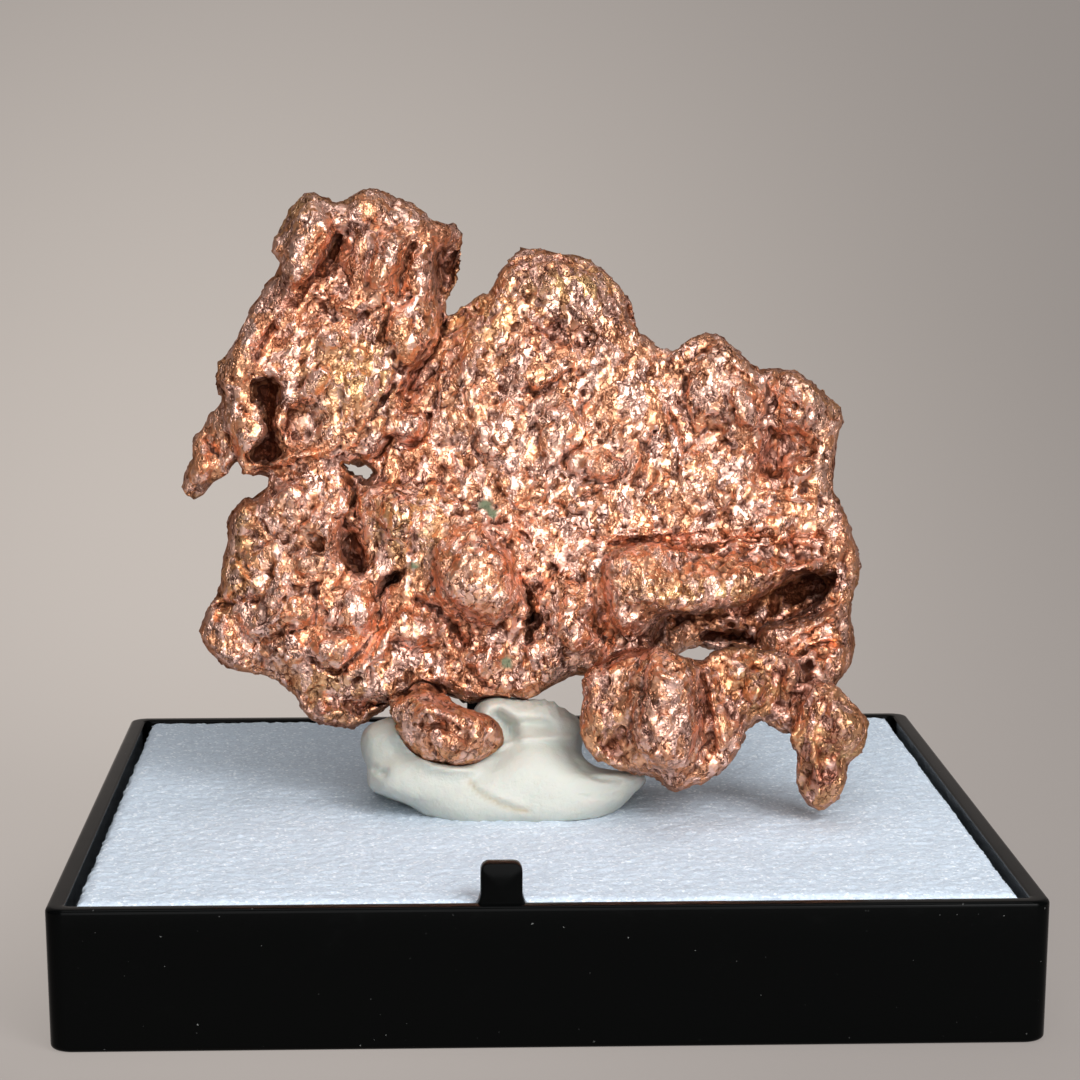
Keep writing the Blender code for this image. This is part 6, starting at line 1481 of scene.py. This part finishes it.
def putty_mesh(sizes, nugget):
    """The putty's skin: fused masses, smoothed, pushed by its strokes and ribbed along its crest.

    The ribs are height = sin(2 pi (x + 0.4 z) / rib) inside a bell round the crest. The foot is cut
    level with the foam and the seat is cut to the nugget's own shape.
    """
    mesh = fused([mass_surface(*mass) for mass in PUTTY_MASSES], sizes.grid)
    points, normals = read_points(mesh)
    points = relaxed(points, edges_of(mesh), 8)
    flat = points[:, (0, 2)]
    facing = toward_viewer(normals).clip(0.0, 1.0)
    crest = patch_weight(flat, PUTTY_CREST)
    ribs = np.sin(2.0 * math.pi * (flat[:, 0] + 0.4 * flat[:, 1]) / PUTTY_RIB)
    points += normals * (0.07 * slope_noise(points, 1.7, SEED + 9) + 0.025 * slope_noise(points, 0.5, SEED)
                         + PUTTY_RIB_HEIGHT * crest * ribs)[:, None]
    points[:, 1] -= stroke_push(flat, PUTTY_STROKES) * facing
    write_attribute(mesh, "crease", stroke_push(flat, PUTTY_CREASE) * facing)
    write_points(mesh, carried(points) * MM)
    putty = show("putty", mesh)
    room = show("room", nugget.data.copy())
    even = room.modifiers.new("Even", "REMESH")
    even.mode = "VOXEL"
    even.voxel_size = 0.25 * MM
    swell = room.modifiers.new("Swell", "DISPLACE")
    swell.mid_level = 0.0
    swell.strength = sizes.room * MM
    floor = show("foot", block_mesh((-20.0, -20.0, -20.0), (20.0, 20.0, FOAM_LEVEL)))
    for tool in (floor, room):
        cut = putty.modifiers.new("Cut", "BOOLEAN")
        cut.operation = "DIFFERENCE"
        cut.solver = "EXACT"
        cut.object = tool
    mesh = evaluated(putty)
    bpy.data.objects.remove(room, do_unlink=True)
    bpy.data.objects.remove(floor, do_unlink=True)
    biggest_shell(mesh)
    return mesh


def block_mesh(low, high):
    """A plain block between two corners in millimetres."""
    corners = np.array([[x, y, z] for z in (low[2], high[2]) for y in (low[1], high[1])
                        for x in (low[0], high[0])])
    faces = [(0, 2, 3, 1), (4, 5, 7, 6), (0, 1, 5, 4), (2, 6, 7, 3), (0, 4, 6, 2), (1, 3, 7, 5)]
    return mesh_from("block", corners * MM, faces)


def putty_finish(sizes):
    """Matte off-white putty, a little translucent, with a tan crease and faint smudges."""
    finish = Finish("off_white_putty", Roughness=0.5, Subsurface_Weight=0.25, Subsurface_Scale=0.6 * MM)
    smudge = finish.ramp(finish.noise(1.3, 4.0, 0.6), 0.45, 0.8)
    base = finish.mix(smudge * 0.25, color(sizes.white), (0.66, 0.62, 0.52, 1.0))
    base = finish.mix(finish.attribute("crease") * 0.6, base, (0.42, 0.30, 0.15, 1.0))
    finish.drive("Base Color", base)
    finish.drive("Roughness", 0.42 + finish.noise(0.4) * 0.2)
    finish.bump(finish.noise(0.35, 4.0, 0.6) * 0.05 + finish.noise(0.09, 3.0, 0.6) * 0.012)
    return finish.material


class SPECIMEN_OT_putty(bpy.types.Operator):
    """Build the lump of putty that holds the nugget"""

    bl_idname = "specimen.putty"
    bl_label = "Mounting putty"

    def execute(self, context):
        nugget = bpy.data.objects.get(NUGGET)
        if nugget is None:
            raise RuntimeError("build the nugget before its putty")
        sizes = context.scene.specimen_putty
        putty = show("off_white_mounting_putty", putty_mesh(sizes, nugget))
        settle(putty, "mounting_putty", putty_finish(sizes))
        return {"FINISHED"}


def foam_mesh(sizes):
    """The foam slab: a square grid for its cut top, folded down at the rim into four rough sides.

    The top is level + swell + grain, where the swell is slow noise and the grain is a field of open
    cells: each dips toward its middle and keeps a thin wall. The sides waver in and out with noise.
    """
    half = FOAM_HIGH[0] / MM + FOAM_SPREAD
    count = sizes.cells
    line = np.linspace(-half, half, count + 1)
    x, y = np.meshgrid(line, line)
    points = np.stack([x.ravel(), y.ravel(), np.full(x.size, FOAM_LEVEL)], -1)
    rim = np.clip((half - np.abs(points[:, :2]).max(axis=1)) / 0.5, 0.0, 1.0)
    lean, wall = facets(points * (1.0, 1.0, 0.0) + 0.5, FOAM_CELL, SEED + 60)
    under = patch_weight(points[:, :2], FOAM_PRESSED)
    points[:, 2] += (0.06 * slope_noise(points, 3.0, SEED + 61) * (1.0 - under)
                     + sizes.grain * (lean * 0.25 - np.clip(wall, 0.0, 0.5) * 0.6)
                     + sizes.grain * slope_noise(points, 0.26, SEED + 62)
                     - 0.16 * (1.0 - rim) ** 2 + 0.02)
    loop = np.concatenate([np.arange(count), np.arange(count) * (count + 1) + count,
                           (count + 1) ** 2 - 1 - np.arange(count),
                           (count - np.arange(count)) * (count + 1)])
    edge = points[loop]
    outward = edge[:, :2] / half
    outward = outward * (np.abs(outward) > 0.999)
    drop = np.array(FOAM_DROPS)
    floor = FOAM_LOW[2] / MM - FOAM_SINK
    sides = np.repeat(edge[None], len(drop) + 1, axis=0)
    sides[:-1, :, 2] = edge[None, :, 2] - drop[:, None]
    sides[-1, :, 2] = floor
    ragged = 0.09 * slope_noise(sides.reshape(-1, 3), 0.5, SEED + 63).reshape(sides.shape[:2]) - 0.05
    sides[:, :, :2] += outward[None] * ragged[..., None]
    inner = np.where(np.abs(edge[:, :2]).max(axis=1) > half - 0.001, 1.0, 0.0)[:, None]
    points[loop, :2] += outward * inner * (0.12 * slope_noise(edge, 0.4, SEED + 64) - 0.10)[:, None]
    everything = np.vstack([points, sides.reshape(-1, 3), [[0.0, 0.0, floor]]])
    corner = (np.arange(count) * (count + 1))[:, None] + np.arange(count)
    top = np.stack([corner, corner + 1, corner + count + 2, corner + count + 1], -1).reshape(-1, 4)
    around = len(loop)
    rings = np.vstack([loop, (count + 1) ** 2 + np.arange(sides.shape[0] * around).reshape(-1, around)])
    after = np.roll(rings, -1, axis=1)
    skirt = np.stack([rings[:-1], rings[1:], after[1:], after[:-1]], -1).reshape(-1, 4)
    last = np.column_stack([np.full(around, len(everything) - 1), after[-1], rings[-1]])
    return mesh_from("foam", everything * MM, top.tolist() + skirt.tolist() + last.tolist())


def foam_finish(sizes):
    """White foam with a cold tinge: bright cell walls, shaded pores and a few glinting ones."""
    finish = Finish("white_foam", Roughness=0.75, Emission_Strength=1.0)
    pick = finish.add("ShaderNodeSeparateColor", {}, {0: finish.cells(FOAM_GRAIN)})
    tone = finish.noise(0.3, 3.0, 0.7)
    base = finish.mix(finish.ramp(pick * 0.6 + tone * 0.8, 0.5, 1.0) * 0.4, color(sizes.white),
                      (0.40, 0.47, 0.58, 1.0))
    # Painted highlight: a few cells take a paler base colour and a faint emission glow as glints
    glint = finish.ramp(pick, 0.86, 0.94)
    base = finish.mix(glint * 0.7, base, (0.9, 0.95, 1.0, 1.0))
    finish.drive("Base Color", base)
    finish.drive("Emission Color", finish.mix(glint, (0.0, 0.0, 0.0, 1.0), (0.07, 0.08, 0.09, 1.0)))
    finish.bump(pick * 0.035 + tone * 0.05)
    return finish.material


class SPECIMEN_OT_foam(bpy.types.Operator):
    """Build the foam pad in the tray"""

    bl_idname = "specimen.foam"
    bl_label = "Foam pad"

    def execute(self, context):
        sizes = context.scene.specimen_foam
        foam = show("white_foam_pad", foam_mesh(sizes))
        settle(foam, "foam_pad", foam_finish(sizes))
        return {"FINISHED"}


def square_loop(half, corner, height, steps=10):
    """A square loop with round corners: x and y are the corner's centre plus corner (cos a, sin a)."""
    angle = np.radians(np.concatenate([quarter * 90.0 + np.linspace(0.0, 90.0, steps)
                                       for quarter in range(4)]))
    quarter = np.repeat(np.arange(4), steps)
    across = np.where((quarter == 0) | (quarter == 3), 1.0, -1.0) * (half - corner)
    deep = np.where(quarter < 2, 1.0, -1.0) * (half - corner)
    return np.column_stack([across + corner * np.cos(angle), deep + corner * np.sin(angle),
                            np.full(len(angle), height)])


def tray_mesh():
    """The tray: square loops with round corners carried up the outside, over the rim and down inside."""
    top = BASE_HIGH[0] / MM
    rim = TRAY_HEIGHT
    outside = top - WALL_TAPER
    inner = top - RIM_WIDTH
    turn = np.radians(np.linspace(0.0, 90.0, 6))
    loops = [square_loop(outside - FOOT_EDGE * (1.0 - math.sin(a)), CORNER, FOOT_EDGE * (1.0 - math.cos(a)))
             for a in turn]
    loops += [square_loop(outside + WALL_TAPER * t, CORNER, FOOT_EDGE + (rim - 2.0 * FOOT_EDGE) * t)
              for t in (0.25, 0.5, 0.75)]
    loops += [square_loop(top - RIM_EDGE * (1.0 - math.cos(a)), CORNER, rim - RIM_EDGE * (1.0 - math.sin(a)))
              for a in turn]
    loops += [square_loop(inner + INNER_EDGE * (1.0 - math.sin(a)), INNER_CORNER,
                          rim - INNER_EDGE * (1.0 - math.cos(a))) for a in turn]
    loops += [square_loop(inner - draw, INNER_CORNER, TRAY_FLOOR + height) for draw, height in TRAY_INSIDE]
    rings = np.stack(loops)
    poles = np.array([[0.0, 0.0, 0.0], [0.0, 0.0, TRAY_FLOOR]])
    faces = [tuple(reversed(face)) for face in tube_faces(len(rings), rings.shape[1])]
    return mesh_from("tray", np.vstack([rings.reshape(-1, 3), poles]) * MM, faces)


def tab_mesh(side):
    """A catch tab: a stadium-shaped profile, round at its upper corners, carried through its depth.

    The profile spreads into a small foot where it leaves the rim, and both faces have soft edges.
    """
    high = BASE_HIGH[2] / MM
    wide = TAB_WIDTH / 2.0
    bend = np.radians(np.linspace(0.0, 90.0, 7))
    foot = np.array(TAB_FOOT) + (wide, 0.0)
    crown = np.column_stack([wide - TAB_ROUND * (1.0 - np.cos(bend)),
                             high - TAB_ROUND * (1.0 - np.sin(bend))])
    right = np.vstack([foot, crown])
    profile = np.vstack([right, (right * (-1.0, 1.0))[::-1]])
    middle = np.array([0.0, TAB_MIDDLE])
    outer = BASE_HIGH[1] / MM - TAB_INSET
    reach = np.linalg.norm(profile - middle, axis=1, keepdims=True)
    rings = np.stack([np.insert(middle + (profile - middle) * (1.0 - shrink / reach), 1,
                                side * (outer - depth), axis=1)
                      for depth, shrink in zip(TAB_DEPTHS, TAB_SHRINKS)])
    rings[..., 0] += TAB_CENTRE
    poles = np.array([rings[0].mean(axis=0), rings[-1].mean(axis=0)])
    faces = tube_faces(len(rings), rings.shape[1])
    if side < 0.0:
        faces = [tuple(reversed(face)) for face in faces]
    return mesh_from("tab", np.vstack([rings.reshape(-1, 3), poles]) * MM, faces)


def base_mesh():
    """The tray with its two catch tabs joined on."""
    tray = show("tray", tray_mesh())
    tabs = [show("tab", tab_mesh(side)) for side in (-1.0, 1.0)]
    for tab in tabs:
        union = tray.modifiers.new("Join", "BOOLEAN")
        union.operation = "UNION"
        union.solver = "EXACT"
        union.object = tab
    mesh = evaluated(tray)
    for tab in tabs:
        bpy.data.objects.remove(tab, do_unlink=True)
    return mesh


def base_finish(sizes):
    """Glossy black plastic with a slight waviness, faint handling marks and a few specks of dust."""
    finish = Finish("black_plastic", Roughness=0.2, Specular_IOR_Level=0.04)
    marks = finish.ramp(finish.noise(2.2, 5.0, 0.7), 0.55, 0.8)
    dust = finish.ramp(finish.noise(0.16, 1.0, 0.5), 0.77, 0.80) * finish.ramp(finish.noise(5.0), 0.4, 0.7)
    finish.drive("Base Color", finish.mix(dust * 0.5, color(sizes.black), (0.30, 0.31, 0.30, 1.0)))
    finish.drive("Roughness", 0.16 + marks * 0.16 + dust * 0.4)
    finish.bump(finish.noise(6.0, 2.0, 0.4) * 0.03 + dust * 0.02)
    return finish.material


class SPECIMEN_OT_base(bpy.types.Operator):
    """Build the black box base"""

    bl_idname = "specimen.base"
    bl_label = "Box base"

    def execute(self, context):
        base = show("black_box_base", base_mesh())
        settle(base, "box_base", base_finish(context.scene.specimen_base))
        base.data.set_sharp_from_angle(angle=math.radians(38.0))
        return {"FINISHED"}


def soft_light(name, place, target, size, brightness):
    """A square soft light of an even brightness at a place in millimetres, turned toward a target."""
    lamp = bpy.data.lights.new(name, "AREA")
    lamp.shape = "SQUARE"
    lamp.size = size * MM
    lamp.energy = brightness * math.pi * lamp.size ** 2
    thing = bpy.data.objects.new(name, lamp)
    bpy.context.scene.collection.objects.link(thing)
    thing.location = Vector(place) * MM
    thing.rotation_euler = (Vector(target) - Vector(place)).to_track_quat("-Z", "Y").to_euler()


def floor_finish(sizes):
    """A pale matte floor with a glow of its own, brightest behind the object's left and fading from there."""
    finish = Finish("floor_paint", Roughness=0.9, Specular_IOR_Level=0.1, Emission_Strength=1.0)
    finish.shader.inputs["Base Color"].default_value = (0.10, 0.09, 0.085, 1.0)
    away = finish.vector("SUBTRACT", finish.place, CAMERA_PLACE)
    split = finish.add("ShaderNodeSeparateXYZ", {}, {0: away}, "Y")
    right = Signal(finish, split.socket.node.outputs["X"])
    up = Signal(finish, split.socket.node.outputs["Z"])
    across = (right / split - GLOW_CENTRE[0]) / GLOW_REACH[0]
    upward = (up / split - GLOW_CENTRE[1]) / GLOW_REACH[1]
    reach = (across * across + upward * upward) ** 0.5
    finish.drive("Emission Color", finish.mix(finish.ramp(reach, 0.0, 1.3),
                                              color(sizes.bright_side), color(sizes.dim_side)))
    return finish.material


def backdrop_mesh():
    """A floor that bends up into a backdrop: level to the bend, round through it, then upright."""
    bend = np.radians(np.linspace(10.0, 90.0, 9))
    across = np.linspace(-FLOOR_HALF, FLOOR_HALF, 25)
    along = np.concatenate([np.linspace(FLOOR_NEAR, FLOOR_BEND, 12), FLOOR_BEND + BEND_RADIUS * np.sin(bend),
                            np.full(4, FLOOR_BEND + BEND_RADIUS)])
    rise = np.concatenate([np.zeros(12), BEND_RADIUS * (1.0 - np.cos(bend)),
                           np.linspace(WALL_LOW, WALL_HIGH, 4)])
    grid = np.stack([np.tile(across, (len(along), 1)), np.tile(along[:, None], (1, len(across))),
                     np.tile(rise[:, None], (1, len(across)))], -1)
    corner = (np.arange(len(along) - 1) * len(across))[:, None] + np.arange(len(across) - 1)
    faces = np.stack([corner, corner + 1, corner + 1 + len(across), corner + len(across)], -1)
    return mesh_from("floor", grid.reshape(-1, 3) * MM, faces.reshape(-1, 4).tolist())


def build_stage(sizes):
    """A seamless pale floor and backdrop, a warm soft surround, the soft lights and the camera."""
    floor = show("floor", backdrop_mesh())
    floor.data.materials.append(floor_finish(sizes))
    floor.data.shade_smooth()
    world = bpy.data.worlds.new("surround")
    world.use_nodes = True
    bpy.context.scene.world = world
    world.node_tree.nodes["Background"].inputs["Color"].default_value = (1.0, 0.97, 0.94, 1.0)
    world.node_tree.nodes["Background"].inputs["Strength"].default_value = sizes.surround
    for name, place, size, brightness in SOFT_LIGHTS:
        soft_light(name, place, LIGHTS_TARGET, size, sizes.key * brightness)
    bpy.context.scene.view_settings.view_transform = "Standard"
    place_camera(sizes)


def place_camera(sizes):
    """The camera, turned right and tilted down from straight ahead."""
    lens = bpy.data.cameras.new("camera")
    lens.lens = sizes.lens
    lens.sensor_width = 36.0
    lens.clip_start = 0.01
    lens.clip_end = 20.0
    view = bpy.data.objects.new("camera", lens)
    bpy.context.scene.collection.objects.link(view)
    view.location = Vector(CAMERA_PLACE) * MM
    turn, tilt = math.radians(CAMERA_TURN), math.radians(CAMERA_TILT)
    sight = Vector((math.sin(turn) * math.cos(tilt), math.cos(turn) * math.cos(tilt), -math.sin(tilt)))
    view.rotation_euler = sight.to_track_quat("-Z", "Y").to_euler()
    bpy.context.scene.camera = view


class SPECIMEN_OT_stage(bpy.types.Operator):
    """Set the camera, the lights and the floor"""

    bl_idname = "specimen.stage"
    bl_label = "Camera, lights and floor"

    def execute(self, context):
        build_stage(context.scene.specimen_stage)
        return {"FINISHED"}


class SPECIMEN_PT_panel(bpy.types.Panel):
    """The specimen's tools and settings."""

    bl_label = "Copper Nugget Specimen"
    bl_idname = "SPECIMEN_PT_panel"
    bl_space_type = "VIEW_3D"
    bl_region_type = "UI"
    bl_category = "Specimen"

    def draw(self, context):
        for operator, group in TOOLS:
            box = self.layout.box()
            box.operator(operator.bl_idname)
            settings = getattr(context.scene, group)
            for name in settings.__annotations__:
                box.prop(settings, name)


GROUPS = (
    ("specimen_nugget", SPECIMEN_PG_nugget),
    ("specimen_putty", SPECIMEN_PG_putty),
    ("specimen_foam", SPECIMEN_PG_foam),
    ("specimen_base", SPECIMEN_PG_base),
    ("specimen_stage", SPECIMEN_PG_stage),
)
TOOLS = (
    (SPECIMEN_OT_nugget, "specimen_nugget"),
    (SPECIMEN_OT_putty, "specimen_putty"),
    (SPECIMEN_OT_foam, "specimen_foam"),
    (SPECIMEN_OT_base, "specimen_base"),
    (SPECIMEN_OT_stage, "specimen_stage"),
)


def register():
    """Register the classes and hang the settings on the scene."""
    for name, group in GROUPS:
        bpy.utils.register_class(group)
        setattr(bpy.types.Scene, name, bpy.props.PointerProperty(type=group))
    for operator, group in TOOLS:
        bpy.utils.register_class(operator)
    bpy.utils.register_class(SPECIMEN_PT_panel)


def unregister():
    """Take the classes and the settings away again."""
    bpy.utils.unregister_class(SPECIMEN_PT_panel)
    for operator, group in TOOLS:
        bpy.utils.unregister_class(operator)
    for name, group in GROUPS:
        delattr(bpy.types.Scene, name)
        bpy.utils.unregister_class(group)


def main():
    """Register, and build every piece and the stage."""
    register()
    bpy.ops.specimen.nugget()
    bpy.ops.specimen.putty()
    bpy.ops.specimen.foam()
    bpy.ops.specimen.base()
    bpy.ops.specimen.stage()


if __name__ == "__main__":
    main()
